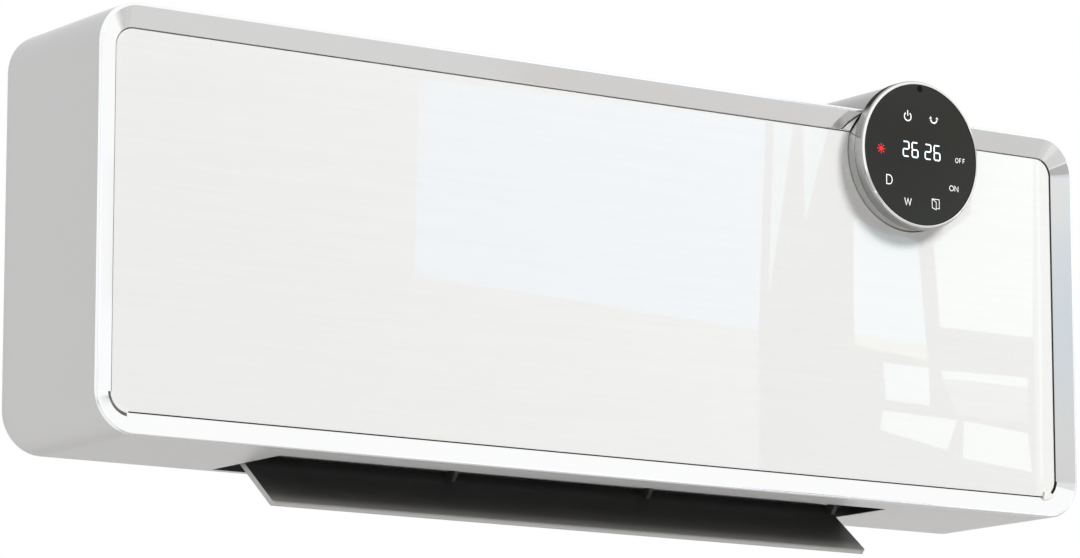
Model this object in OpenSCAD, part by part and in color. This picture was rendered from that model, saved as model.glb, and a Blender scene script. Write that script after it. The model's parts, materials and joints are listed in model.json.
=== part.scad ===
// Wall-hung bathroom fan heater: an open-backed plastic housing with a glass
// front in a bevelled frame, a round touch display at the upper right, and a
// motor-driven flap that closes the air outlet in the bottom.
// Millimetres. X runs along the front, Y runs towards the wall and Z is up.
// The origin is the middle of the face that lies on the wall.

/* [Housing] */
// Width of the housing and of the front frame
housing_w = 600; // [570:5:700]
// Height of the housing and of the front frame
housing_h = 206; // [204:1:240]
// Depth from the wall to the front rim
housing_d = 90; // [89:0.5:100]
// Outer corner radius seen from the front
corner_r = 21; // [17:1:28]
// Wall thickness of the housing
wall_t = 3; // [2.4:0.1:3.4]
// Thickness of the back cover
cover_t = 2; // [1.6:0.1:2.2]

/* [Front frame] */
// Width of the frame from its outer edge to the glass
bezel_w = 11.8; // [10:0.1:13]
// Depth of the glass face behind the rim
glass_recess = 5.8; // [4:0.1:7]
// Radius of the rolled outer edge
bead_r = 1; // [0.6:0.1:1.2]
// Flat land between the rolled edge and the bevel
land_w = 0.6; // [0.3:0.1:1.5]
// Depth of the frame's edge that shows at the side
lip_d = 1.3; // [1.2:0.1:2.4]
// Wall thickness of the frame's section
frame_t = 2.2; // [1.6:0.1:2.4]
// Thickness of the front glass
glass_t = 4; // [3:0.5:4]
// Gap round the glass
glass_gap = 0.9; // [0.4:0.1:1.2]
// Thickness of the plate that carries the glass
carrier_t = 2; // [1.6:0.1:2.4]
// Width of the curved slots round the glass's lower corners
corner_slot_w = 2.5; // [2:0.1:3.2]

/* [Round display] */
// Middle of the display, from the right side of the housing
pod_side = 110.4; // [100:1:150]
// Middle of the display, below the top of the housing
pod_drop = 21.6; // [17:0.2:25]
// Radius of the black touch glass
disc_r = 37.5; // [35:0.5:38.5]
// Width of the bright ring round the touch glass
ring_w = 1.8; // [1.4:0.1:2.4]
// How far the touch glass stands in front of the rim
pod_reach = 6.5; // [5.5:0.1:9]
// Thickness of the touch glass
disc_t = 2.3; // [1.5:0.1:3]
// Thickness of the barrel's wall
barrel_t = 2.2; // [1.6:0.1:3]
// Height of one seven-segment digit
digit_h = 9.2; // [8:0.2:12]

/* [Outlet and flap] */
// Width of the bays for the motor and the electrics, at the ends of the outlet
bay_w = 114; // [110:1:135]
// Outlet's front edge, behind the rim
outlet_front = 21.5; // [21:0.5:24]
// Outlet's back edge, in front of the wall
outlet_back = 4.4; // [4.2:0.1:6]
// Thickness of the flap's plate
flap_t = 3; // [2:0.1:3.4]
// Gap between the flap's ends and the outlet's ends
flap_end_gap = 4; // [2:0.5:6]
// Gap at the flap's front edge when shut
flap_front_gap = 1; // [0.6:0.1:2]
// Height of the flap's hinge above the underside
hinge_h = 7; // [6.4:0.1:8]
// Distance of the flap's hinge from the wall
hinge_back = 28.2; // [26:0.2:30]
// Opening angle of the flap as modelled
flap_open = 39; // [5:1:60]
// Diameter of the flap's rod
rod_d = 4; // [3:0.2:4.4]
// Thickness of one flap arm
arm_t = 2.4; // [1.8:0.1:4]
// Radius of a crank, from its shaft to its pin
crank_r = 9; // [8:0.5:11]

/* [Fan] */
// Outer diameter of the cross-flow impeller
rotor_d = 58; // [52:1:60]
// Number of curved blades
blade_n = 34; // [24:1:40]
// Thickness of one blade
blade_t = 1; // [0.8:0.1:1.2]
// Depth of the blade ring, from rim to bore
blade_w = 8; // [6:0.5:10]
// Number of bays between the discs
bay_n = 5; // [3:1:7]
// Gap between the impeller and its casing
scroll_gap = 3; // [2:0.1:4]
// Distance of the fan's axis from the wall
fan_back = 40; // [39:0.5:42]
// Height of the fan's axis above the housing's middle
fan_z = 12; // [8:1:14]
// Diameter of the fan's shaft
shaft_d = 6; // [5:0.5:8]
// Diameter of the fan motor
motor_d = 58; // [50:1:60]
// Length of the fan motor
motor_l = 52; // [40:1:60]

/* [Heating element] */
// Length of the caps at the ends of the finned block
cap_l = 10.4; // [9:0.2:14]
// Height of the finned block
heater_h = 22; // [18:1:24]
// Thickness of one heating tube
tube_t = 6; // [5:0.5:7]
// Width of one row of fins
fin_w = 12.2; // [10:0.2:12.4]
// Pitch of the folded fins
fin_pitch = 6; // [4:0.5:8]
// Thickness of the fin strip
fin_t = 0.5; // [0.3:0.1:0.8]
// Height of the block's underside above the housing's underside
heater_z = 37; // [36:0.5:40]

/* [Air inlet] */
// Distance between the inlet and the left side of the housing
inlet_side = 64; // [50:2:110]
// Distance between the inlet and the barrel of the display
inlet_margin = 14.8; // [8:0.2:16]
// Distance of the inlet's back edge from the wall
inlet_back = 12; // [10:1:14]
// Width of one slot
slot_w = 3.4; // [2.4:0.1:3.8]
// Pitch of the slots
slot_pitch = 7; // [6:0.5:9]

/* [Electrics] */
// Height of the switch above the floor of the housing
switch_up = 64; // [60:1:70]
// Length of the rocker
rocker_l = 24; // [20:1:26]
// Width of the rocker
rocker_w = 12.6; // [10:0.2:14]
// Tilt of the rocker from level
rocker_tilt = 9; // [6:1:10]
// Height of the cable entry above the floor of the housing
gland_up = 26; // [22:1:30]
// Bore of the cable entry
gland_bore = 7.2; // [6:0.2:8]
// Width of the power board
board_w = 78; // [72:1:79]
// Height of the power board
board_h = 96; // [88:1:98]

/* [Wall bracket] */
// Distance between the bracket's screw holes, sideways
bracket_x = 260; // [200:5:280]
// Distance between the bracket's screw holes, upwards
bracket_z = 20; // [16:1:20]
// Diameter of the bracket's screw holes
bracket_hole = 5.2; // [4:0.1:6]
// Thickness of the bracket's steel
bracket_t = 1.5; // [1.2:0.1:2]

/* [Hidden] */
$fn = 48;
eps = 0.01;

// Clearances: a sliding gap, a running fit on the radius, and room round a screw
gap = 0.3;
run_gap = 0.05;
screw_gap = 0.3;

// Housing planes
front_y = -housing_d;
in_w = housing_w - 2 * wall_t;
in_h = housing_h - 2 * wall_t;
in_r = corner_r - wall_t;
floor_z = -housing_h / 2 + wall_t;
roof_z = housing_h / 2 - wall_t;
side_x = housing_w / 2 - wall_t;

// Frame section, measured back from the rim
inner_wall_d = glass_recess + glass_t;
spigot_d = inner_wall_d + 4.2;
flange_d = inner_wall_d + carrier_t;
ledge_t = 2.4;
ledge_w = 7;
screw_inset = wall_t + frame_t + 2;
front_screw_r = 1.35;
bevel_in = bezel_w - glass_gap;
// Step in the housing's front edge that takes the frame, and its depth
step_w = 1.3;
step_d = 3.4;
web_in = wall_t + gap + frame_t;
web_d = (glass_recess - 0.1) * (web_in - bead_r - land_w) / (bevel_in - bead_r - land_w)
    + 0.7 * frame_t;
bevel_r = corner_r - bevel_in;
front_boss_r = 2.2;
front_boss_d = glass_recess - 0.6;

// Display
pod_x = housing_w / 2 - pod_side;
pod_z = housing_h / 2 - pod_drop;
ring_r = disc_r + 0.1 + ring_w;
barrel_r = ring_r - 0.6;
groove_d = 0;
groove_h = 0.6;
barrel_end = 18;
disc_front = -pod_reach;
disc_back = disc_front + disc_t;
board_front = 3.6;
pcb_t = 1.6;
ir_hole_r = 1.7;
ir_up = disc_r - 2.2;
digit_up = 2.4;
// Touch keys, as [angle, distance from the middle]
key_spots = [[113, 22], [65, 22], [180, 26.7], [216, 26.5], [251, 27.3], [291, 27.2], [325, 27.1],
             [0, 26.8]];

// Outlet and flap, as distances in Y and Z
outlet_w = housing_w - 2 * bay_w;
mouth_front = front_y + outlet_front;
mouth_back = -outlet_back;
duct_t = 1.6;
plate_t = 2.4;
plate_x = outlet_w / 2 + 0.4;
plate_top = 44;
hinge_y = -hinge_back;
hinge_z = -housing_h / 2 + hinge_h;
flap_w = outlet_w - 2 * flap_end_gap;
flap_front = hinge_y - mouth_front - flap_front_gap;
flap_reach = hinge_back - outlet_back - 0.7;
flap_rear = sqrt(flap_reach * flap_reach - hinge_h * hinge_h);
arm_r = 5;
bush_r = rod_d / 2 + 1;

// Flap drive, left of the end plate: crank, rod and motor crank side by side
crank_t = 3;
link_t = 2.8;
pin_r = 1.5;
crank_out = 1.6;
flap_crank_x = -plate_x - plate_t - crank_out - crank_t;
link_x = flap_crank_x - gap - link_t;
motor_crank_x = link_x - gap - crank_t;
crank_angle = 59;
swing_y = hinge_y - 20;
swing_z = hinge_z + 27;
swing_r = 17.5;
swing_l = 15;

// Fan
fan_y = -fan_back;
rotor_r = rotor_d / 2;
rotor_l = outlet_w - 8;
disc_sheet = 1.2;
shaft_r = shaft_d / 2;
motor_x = -plate_x - plate_t - 8;
mount_r = 22;
mount_turns = [30 : 120 : 270];
bearing_r = shaft_r + 5;
bearing_l = 8;

// Heating element
fin_rows = 3;
rail_t = 1.4;
heater_w = fin_rows * fin_w + (fin_rows - 1) * tube_t + 2 * rail_t;
heater_y = (mouth_front + mouth_back) / 2;
heater_low = -housing_h / 2 + heater_z;
heater_l = 2 * (plate_x - cap_l);
cap_rim = 2;
cap_top = heater_low + heater_h + cap_rim;
fuse_x = plate_x - 7.2;
fuse_r = 2;
guard_t = 1.2;
guard_z = heater_low - cap_rim - guard_t;

// Inlet
inlet_y0 = front_y + spigot_d + 5;
inlet_y1 = -inlet_back;
inlet_d = inlet_y1 - inlet_y0;
inlet_y = (inlet_y0 + inlet_y1) / 2;
inlet_x1 = pod_x - barrel_r - inlet_margin;
inlet_w = inlet_x1 + housing_w / 2 - inlet_side;
inlet_x = inlet_x1 - inlet_w / 2;
grille_lip = [3, 0.7];
grille_lip_t = 1.8;
filter_t = 3;

// Electrics
switch_y = -46;
switch_z = floor_z + switch_up;
switch_flange_t = 1.5;
switch_depth = 22;
body_l = rocker_l + 4.6;
body_w = rocker_w + 6.4;
rocker_x = housing_w / 2 + 0.2;
rocker_pin_r = 1.2;
gland_y = -22;
gland_z = floor_z + gland_up;
gland_r = gland_bore / 2 + 2.4;
gland_flange_t = 2.5;
gland_in = 16;
nut_t = 6;
board_x = side_x - 11.1 - board_w / 2;
board_low = floor_z + 42;
board_z = board_low + board_h / 2;
board_y = -12.4;
standoff_r = 3;
board_screw_r = 1.25;
terminal_x = plate_x + 44;
terminal_y = -50;

// Wall bracket
bracket_w = bracket_x + 90;
bracket_h = bracket_z + 16;
bracket_up = housing_h / 2 - 41;
pocket_d = 5;
pocket_t = 1.6;
hook_w = 12;
hook_x = 95;
hook_h = 6;
slot_h = 9;

// Screws of the back cover: [x, z, length of the boss]
cover_screw_r = 1.5;
boss_r = 4.4;
cover_spots = [
    for (side = [-1, 1]) [side * (side_x - boss_r + 0.6), roof_z - 52, 34],
    for (side = [-1, 1]) [side * (side_x - boss_r + 0.6), floor_z + 54, 22],
    for (side = [-1, 1]) [side * (housing_w / 2 - 44), roof_z - boss_r + 0.6, 8],
    for (side = [-1, 1]) [side * (housing_w / 2 - 44), floor_z + boss_r - 0.6, 34]
];
// Screws of the front frame: three up each side, five along the bottom and five along the top
front_spots = [
    for (side = [-1, 1], up = [-1, 0, 1])
        [side * (housing_w / 2 - screw_inset), up * (housing_h / 2 - 43)],
    for (share = [-2, -1, 0, 1, 2]) [share * housing_w / 5, -housing_h / 2 + screw_inset],
    for (share = [-2, -1, 0, 5 / 6, 25 / 12])
        [share * housing_w / 5, housing_h / 2 - screw_inset]
];
board_spots = [
    for (sx = [-1, 1], sz = [-1, 1])
        [board_x + sx * (board_w / 2 - 5), board_z + sz * (board_h / 2 - 5)]
];

// ---------------------------------------------------------------- helpers

// Rounded rectangle, middle at the origin
module round_rect(w, h, r) {
    square([w - 2 * r, h], center = true);
    square([w, h - 2 * r], center = true);
    for (x = [-1, 1], y = [-1, 1])
        translate([x * (w / 2 - r), y * (h / 2 - r)]) circle(r);
}

// Extrudes a flat shape drawn in X and Z from y0 to y1
module along_y(y0, y1) {
    translate([0, y1, 0]) rotate([90, 0, 0]) linear_extrude(y1 - y0) children();
}

// Extrudes a flat shape drawn in Y and Z from x0 to x1
module along_x(x0, x1) {
    translate([x0, 0, 0]) rotate([90, 0, 90]) linear_extrude(x1 - x0) children();
}

// Cylinder along Y from y0 to y1
module rod_y(r, y0, y1, x = 0, z = 0) {
    translate([x, y1, z]) rotate([90, 0, 0]) cylinder(r = r, h = y1 - y0);
}

// Cylinder along X from x0 to x1
module rod_x(r, x0, x1, y = 0, z = 0) {
    translate([x0, y, z]) rotate([0, 90, 0]) cylinder(r = r, h = x1 - x0);
}

// Box from its low corner to its high corner
module block(low, high) {
    translate(low) cube(high - low);
}

// Turns a profile [radius, depth behind the rim] round the display's axis
module pod_turn(points) {
    translate([pod_x, front_y, pod_z]) rotate([90, 0, 0])
        rotate_extrude($fn = 96) polygon([for (p = points) [p[0], -p[1]]]);
}

// Sweeps a profile [inset, depth behind the rim] round the housing's outline
module frame_sweep(points) {
    section = [for (p = points) [corner_r - p[0], -p[1]]];
    long = housing_w - 2 * corner_r;
    high = housing_h - 2 * corner_r;
    translate([0, front_y, 0]) rotate([90, 0, 0])
        for (turn = [0, 1, 2, 3]) {
            run = turn % 2 == 0 ? high : long;
            across = turn % 2 == 0 ? long : high;
            rotate([0, 0, 90 * turn]) translate([across / 2, run / 2, 0]) {
                rotate_extrude(angle = 90) polygon(section);
                rotate([90, 0, 0]) linear_extrude(run) polygon(section);
            }
        }
}

// Turns a profile [radius, depth behind the rim] round the lower right corner
module corner_turn(from, sweep, points) {
    translate([housing_w / 2 - corner_r, front_y, -housing_h / 2 + corner_r]) rotate([90, 0, 0])
        rotate([0, 0, from]) rotate_extrude(angle = sweep) polygon([for (p = points) [p[0], -p[1]]]);
}

// Turns the flap's pieces from shut to their modelled opening
module flap_opened() {
    translate([0, hinge_y, hinge_z]) rotate([flap_open, 0, 0]) children();
}

// Offset of a crank's pin from its shaft
crank_pin = crank_r * [0, cos(crank_angle), sin(crank_angle)];

// ---------------------------------------------------------------- housing

module main_housing() {
    color("whitesmoke") difference() {
        union() {
            difference() {
                along_y(front_y + lip_d, -cover_t) round_rect(housing_w, housing_h, corner_r);
                along_y(front_y, 0) round_rect(in_w, in_h, in_r);
                along_y(front_y, front_y + step_d)
                    round_rect(housing_w - 2 * step_w, housing_h - 2 * step_w, corner_r - step_w);
            }
            // Ledge behind the front frame
            difference() {
                along_y(front_y + spigot_d, front_y + spigot_d + ledge_t)
                    round_rect(in_w + 1, in_h + 1, in_r);
                along_y(front_y, 0)
                    round_rect(in_w - 2 * ledge_w, in_h - 2 * ledge_w, in_r - ledge_w);
            }
            // Bosses for the back cover's screws
            for (spot = cover_spots)
                rod_y(boss_r, -cover_t - spot[2], -cover_t, spot[0], spot[1]);
            // Ribs that stiffen the side walls
            for (side = [-1, 1], z = [switch_z + 26, switch_z + 56, roof_z - 25])
                block([side * (side_x - 1.4) - 1.6, front_y + spigot_d, z - 0.8],
                      [side * (side_x - 1.4) + 1.6, -cover_t - 6, z + 0.8]);
        }
        for (spot = cover_spots)
            rod_y(cover_screw_r + run_gap, -cover_t - 14, 0, spot[0], spot[1]);
        for (spot = front_spots)
            rod_y(front_screw_r + screw_gap, front_y, front_y + spigot_d + ledge_t + 1,
                  spot[0], spot[1]);
        // Round opening that the display's barrel passes through
        rod_y(barrel_r + gap, front_y, front_y + barrel_end + gap, pod_x, pod_z);
        // Air inlet
        block([inlet_x1 - inlet_w, inlet_y0, roof_z - 1],
              [inlet_x1, inlet_y1, housing_h / 2 + 1]);
        // Air outlet
        translate([0, (mouth_front + mouth_back) / 2, -housing_h / 2 - 1])
            linear_extrude(wall_t + 2)
                round_rect(outlet_w, mouth_back - mouth_front, 1);
        // Switch and cable entry
        block([side_x - 8, switch_y - body_w / 2 - 0.2, switch_z - body_l / 2 - 0.2],
              [housing_w / 2 + 1, switch_y + body_w / 2 + 0.2, switch_z + body_l / 2 + 0.2]);
        rod_x(gland_r + 0.1, side_x - 6, housing_w / 2 + 1, gland_y, gland_z);
    }
}

module back_cover() {
    color("gainsboro") difference() {
        union() {
            along_y(-cover_t, 0) round_rect(housing_w, housing_h, corner_r);
            // Pocket that the wall bracket hooks into
            translate([0, 0, bracket_up])
                along_y(-pocket_d - pocket_t, 0)
                    round_rect(bracket_w + 2 * pocket_t + 2, bracket_h + 16, 3);
            // Locating lip inside the housing
            difference() {
                along_y(-cover_t - 2.4, -cover_t)
                    round_rect(in_w - 2 * gap, in_h - 2 * gap, in_r - gap);
                along_y(-cover_t - 4, -cover_t + eps)
                    round_rect(in_w - 2 * gap - 3, in_h - 2 * gap - 3, in_r - gap - 1.5);
                for (spot = cover_spots)
                    rod_y(boss_r + gap, -cover_t - 4, -cover_t + eps, spot[0], spot[1]);
                block([-plate_x - plate_t - 1, -cover_t - 4, -housing_h / 2],
                      [plate_x + plate_t + 1, -cover_t + eps, 0]);
            }
            for (spot = board_spots)
                rod_y(standoff_r, board_y, -cover_t + eps, spot[0], spot[1]);
        }
        translate([0, 0, bracket_up])
            along_y(-pocket_d, 1) round_rect(bracket_w + 2, bracket_h + 12.8, 1.4);
        for (side = [-1, 1])
            block([side * hook_x - hook_w / 2 - 1, -pocket_d - pocket_t - 1,
                   bracket_up - slot_h + bracket_t],
                  [side * hook_x + hook_w / 2 + 1, -pocket_d + 1, bracket_up + bracket_t]);
        for (spot = cover_spots) {
            rod_y(cover_screw_r + screw_gap, -cover_t - 1, 1, spot[0], spot[1]);
            translate([spot[0], 0, spot[1]]) rotate([90, 0, 0])
                cylinder(r1 = 3.4, r2 = cover_screw_r + screw_gap, h = 1.6);
        }
        for (spot = board_spots)
            rod_y(board_screw_r + run_gap, board_y - 1, board_y + 8, spot[0], spot[1]);
    }
}

module wall_bracket() {
    color("silver") difference() {
        union() {
            translate([0, 0, bracket_up]) along_y(-bracket_t, 0)
                round_rect(bracket_w, bracket_h, 4);
            // Hooks that carry the back cover by the top edge of its slots
            for (side = [-1, 1]) {
                block([side * hook_x - hook_w / 2, -pocket_d - pocket_t - gap - bracket_t,
                       bracket_up],
                      [side * hook_x + hook_w / 2, -bracket_t + eps, bracket_up + bracket_t]);
                block([side * hook_x - hook_w / 2, -pocket_d - pocket_t - gap - bracket_t,
                       bracket_up],
                      [side * hook_x + hook_w / 2, -pocket_d - pocket_t - gap,
                       bracket_up + bracket_t + hook_h]);
            }
        }
        for (sx = [-1, 1], sz = [-1, 1])
            rod_y(bracket_hole / 2, -bracket_t - 1, 1, sx * bracket_x / 2,
                  bracket_up + sz * bracket_z / 2);
    }
}

module cover_screws() {
    color("silver") for (spot = cover_spots) translate([spot[0], 0, spot[1]])
        rotate([90, 0, 0]) difference() {
            union() {
                cylinder(r1 = 3.2, r2 = cover_screw_r, h = 1.5);
                translate([0, 0, 1.5 - eps]) cylinder(r = cover_screw_r, h = 7.5);
            }
            for (turn = [0, 90]) rotate([0, 0, turn])
                translate([-1.9, -0.35, -1]) cube([3.8, 0.7, 1.9]);
        }
}

// ---------------------------------------------------------------- front

module front_frame() {
    bead = [for (a = [180 : 15 : 270]) [bead_r + bead_r * cos(a), bead_r + bead_r * sin(a)]];
    outline = concat(
        [[0, lip_d]], bead,
        [[bead_r + land_w, 0], [bevel_in, glass_recess - 0.1], [bevel_in, inner_wall_d],
         [bevel_in - frame_t, inner_wall_d], [bevel_in - frame_t, glass_recess + 0.8],
         [web_in, web_d], [web_in, spigot_d], [web_in - frame_t, spigot_d],
         [web_in - frame_t, step_d], [step_w + 0.1, step_d], [step_w + 0.1, lip_d]]);
    color("white") difference() {
        union() {
            frame_sweep(outline);
            for (spot = front_spots)
                rod_y(front_boss_r, front_y + front_boss_d, front_y + spigot_d, spot[0], spot[1]);
        }
        for (spot = front_spots)
            rod_y(front_screw_r + run_gap, front_y + front_boss_d + 1.2, front_y + spigot_d + 1,
                  spot[0], spot[1]);
        rod_y(ring_r + 0.4, front_y - 1, 0, pod_x, pod_z);
        // Slots round the lower corners of the glass
        for (flip = [0, 1]) mirror([flip, 0, 0])
            corner_turn(-82, 78, [
                [bevel_r, -glass_recess], [bevel_r + corner_slot_w, -glass_recess],
                [bevel_r + corner_slot_w, inner_wall_d + 1], [bevel_r, inner_wall_d + 1]]);
    }
}

module front_glass() {
    color("ghostwhite") difference() {
        along_y(front_y + glass_recess, front_y + inner_wall_d)
            round_rect(housing_w - 2 * bezel_w, housing_h - 2 * bezel_w, corner_r - bezel_w);
        rod_y(barrel_r + 0.5, front_y, 0, pod_x, pod_z);
    }
}

module glass_carrier() {
    inset = web_in + 0.4;
    color("lightgray") difference() {
        along_y(front_y + inner_wall_d, front_y + spigot_d)
            round_rect(housing_w - 2 * inset, housing_h - 2 * inset, corner_r - inset);
        // Shallow pans between the stiffening ribs
        pan_w = (housing_w - 2 * bezel_w - 20) / 9;
        for (i = [0 : 8], side = [-1, 1])
            translate([(i - 4) * pan_w, 0, side * (housing_h - 2 * bezel_w - 12) / 4])
                along_y(front_y + flange_d, front_y + spigot_d + 1)
                    round_rect(pan_w - 3, (housing_h - 2 * bezel_w - 12) / 2 - 3, 2);
        for (spot = front_spots)
            rod_y(front_boss_r + gap, front_y, 0, spot[0], spot[1]);
        rod_y(barrel_r + 0.5, front_y, 0, pod_x, pod_z);
    }
}

// Small tab at the lower right corner: it laps the glass and hooks through the slot
module glass_clip() {
    glass_r = corner_r - bezel_w;
    leg = bevel_r + 0.4;
    color("white") corner_turn(-79, 24, [
        [glass_r - 2.4, glass_recess - 1], [bevel_r + corner_slot_w - gap, glass_recess - 1],
        [bevel_r + corner_slot_w - gap, glass_recess + 0.6], [leg + 1.2, glass_recess + 0.6],
        [leg + 1.2, inner_wall_d], [leg, inner_wall_d], [leg, glass_recess],
        [glass_r - 2.4, glass_recess]]);
}

module front_screws() {
    seat = front_y + spigot_d + ledge_t;
    head_r = 2.6;
    head_h = 1.6;
    color("silver") for (spot = front_spots) {
        rod_y(front_screw_r, seat - 8, seat + eps, spot[0], spot[1]);
        difference() {
            rod_y(head_r, seat, seat + head_h, spot[0], spot[1]);
            block([spot[0] - 1.8, seat + head_h / 2, spot[1] - 0.3],
                  [spot[0] + 1.8, seat + head_h + 0.4, spot[1] + 0.3]);
        }
    }
}

// ---------------------------------------------------------------- display

// Barrel: a full tube at the front, and a hood on top of the housing behind it
module pod_barrel() {
    bore_r = barrel_r - barrel_t;
    shelf = board_front + pcb_t;
    color("darkgray") {
        pod_turn([[bore_r, groove_d + groove_h], [barrel_r, groove_d + groove_h],
                  [barrel_r, barrel_end], [bore_r, barrel_end],
                  [bore_r, shelf + 2], [bore_r - 3, shelf + 2], [bore_r - 3, shelf], [bore_r, shelf]]);
        difference() {
            rod_y(barrel_r, front_y + barrel_end - eps, 0, pod_x, pod_z);
            rod_y(bore_r, front_y, -barrel_t, pod_x, pod_z);
            block([pod_x - 2 * barrel_r, front_y, -housing_h],
                  [pod_x + 2 * barrel_r, 1, housing_h / 2]);
        }
    }
}

module pod_gasket() {
    color("dimgray")
        pod_turn([[barrel_r - barrel_t, groove_d], [barrel_r - 0.9, groove_d],
                  [barrel_r - 0.9, groove_d + groove_h], [barrel_r - barrel_t, groove_d + groove_h]]);
}

module pod_ring() {
    inner_r = disc_r + 0.1;
    seat_r = inner_r - 1;
    foot_r = inner_r - 2.2;
    foot_t = 1.6;
    color("silver")
        pod_turn([[seat_r, disc_back], [inner_r, disc_back], [inner_r, disc_front - 0.1],
                  [inner_r + 0.4, disc_front - 0.3], [ring_r - 0.3, disc_front + 0.6],
                  [ring_r, disc_front + 1.1], [ring_r, groove_d - 0.5], [ring_r - 0.3, groove_d],
                  [foot_r, groove_d], [foot_r, groove_d - foot_t], [seat_r, groove_d - foot_t]]);
}

module touch_glass() {
    color("black") difference() {
        pod_turn([[0, disc_front], [disc_r - 0.4, disc_front], [disc_r, disc_front + 0.4],
                  [disc_r, disc_back], [0, disc_back]]);
        rod_y(ir_hole_r + run_gap, front_y + disc_front - 1, front_y + disc_back + 1,
              pod_x, pod_z + ir_up);
    }
}

module ir_window() {
    color("black") {
        rod_y(ir_hole_r, front_y + disc_front - 0.1, front_y + disc_back, pod_x, pod_z + ir_up);
        rod_y(ir_hole_r - 0.6, front_y + disc_back - eps, front_y + disc_back + 2.4,
              pod_x, pod_z + ir_up);
    }
}

module display_board() {
    color("darkgreen") difference() {
        rod_y(barrel_r - barrel_t - gap, front_y + board_front, front_y + board_front + pcb_t,
              pod_x, pod_z);
        for (a = [30 : 120 : 270])
            rod_y(1.6, front_y, front_y + 20, pod_x + 30 * cos(a), pod_z + 30 * sin(a));
    }
}

// Four-digit display block, with the segments' light wells open to the front
module digit_module() {
    face_w = 3.3 * digit_h;
    face_h = 1.52 * digit_h;
    digit_w = 0.5 * digit_h;
    front = front_y + disc_back + 0.2;
    well_d = 5;
    well_w = 1;
    centres = [for (pair = [-1, 1], one = [-1, 1]) digit_h * (0.81 * pair + 0.32 * one)];
    color("dimgray") translate([pod_x, 0, pod_z + digit_up]) difference() {
        along_y(front, front_y + board_front) square([face_w, face_h], center = true);
        for (x = centres) translate([x, 0, 0]) {
            for (bar = [-1, 0, 1])
                translate([0, front - 1, bar * (digit_h - well_w) / 2])
                    block([-digit_w / 2 + 1.2, 0, -well_w / 2],
                          [digit_w / 2 - 1.2, well_d, well_w / 2]);
            for (side = [-1, 1], half = [-1, 1])
                translate([side * (digit_w - well_w) / 2, front - 1, half * digit_h / 4])
                    block([-well_w / 2, 0, -digit_h / 4 + 1], [well_w / 2, well_d, digit_h / 4 - 1]);
        }
    }
}

// Springs that couple the touch keys to the board, one behind each mark
module touch_springs() {
    spring_r = 2.2;
    color("goldenrod") for (key = key_spots)
        rod_y(spring_r, front_y + disc_back, front_y + board_front,
              pod_x + key[1] * cos(key[0]), pod_z + key[1] * sin(key[0]));
}

module ir_receiver() {
    color("black") block([pod_x - 2.6, front_y + disc_back + 2.4, pod_z + ir_up - 4.4],
                         [pod_x + 2.6, front_y + board_front, pod_z + ir_up - 2 + ir_hole_r]);
}

module buzzer() {
    seat = front_y + board_front + pcb_t;
    off = 12;
    high = 5.5;
    color("black") difference() {
        rod_y(6, seat, seat + high, pod_x - off, pod_z - off);
        rod_y(1.2, seat + high - 2.5, seat + high + 1, pod_x - off, pod_z - off);
    }
}

// Flat ribbon from the display board down to the power board
module display_ribbon() {
    ribbon_w = 14;
    x0 = pod_x + 14;
    y0 = front_y + board_front + pcb_t;
    y1 = board_y - pcb_t - 6;
    z0 = pod_z - 14;
    z1 = board_z + board_h / 2 - 16;
    color("gray") {
        block([x0, y0, z0], [x0 + ribbon_w, y0 + 2, z0 + 6]);
        block([x0, y0 + 2 - eps, z0 + 2], [x0 + ribbon_w, y1 + 1, z0 + 3]);
        block([x0, y1, z1], [x0 + ribbon_w, y1 + 1, z0 + 2 + eps]);
        block([x0, y1 + 1 - eps, z1], [x0 + ribbon_w, board_y - pcb_t, z1 + 5]);
    }
}

// ---------------------------------------------------------------- air path

// Grille that fills the inlet from inside, with round-ended slots in two rows
module inlet_grille() {
    color("white") translate([inlet_x, inlet_y, 0]) difference() {
        union() {
            translate([0, 0, roof_z - eps]) linear_extrude(wall_t + eps)
                round_rect(inlet_w - 2 * gap, inlet_d - 2 * gap, 1);
            translate([0, 0, roof_z - grille_lip_t]) linear_extrude(grille_lip_t)
                square([inlet_w, inlet_d] + 2 * grille_lip, center = true);
        }
        slot_n = floor((inlet_w - 12) / slot_pitch / 2);
        slot_l = (inlet_d - 14) / 2;
        translate([0, 0, roof_z - grille_lip_t - 1]) linear_extrude(wall_t + grille_lip_t + 2)
            for (i = [-slot_n : slot_n], side = [-1, 1])
                translate([i * slot_pitch, side * (slot_l / 2 + 2.4)])
                    round_rect(slot_w, slot_l, slot_w / 2 - eps);
    }
}

module dust_filter() {
    frame_w = inlet_w - 2;
    frame_d = inlet_d - 4;
    rib = 1.2;
    cell = 24;
    rows = floor(frame_w / cell / 2);
    color("gray") translate([inlet_x, inlet_y, roof_z - grille_lip_t - filter_t]) {
        linear_extrude(filter_t) difference() {
            round_rect(frame_w, frame_d, 3);
            round_rect(frame_w - 8, frame_d - 8, 1);
        }
        linear_extrude(1) {
            for (i = [-rows : rows])
                translate([i * cell - rib / 2, -frame_d / 2 + 2]) square([rib, frame_d - 4]);
            for (j = [-1, 0, 1])
                translate([-frame_w / 2 + 2, j * (frame_d - 8) / 4 - rib / 2])
                    square([frame_w - 4, rib]);
        }
    }
}

// Rear half of the scroll: a spiral from over the impeller to the back of the outlet
scroll_start = 50;
scroll_r0 = rotor_r + scroll_gap - 0.5;
scroll_r1 = fan_back - outlet_back;
function scroll_r(a) = scroll_r0 + (scroll_r1 - scroll_r0) * (scroll_start - a) / scroll_start;
function fan_point(a, r) = [fan_y + r * cos(a), fan_z + r * sin(a)];

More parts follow.
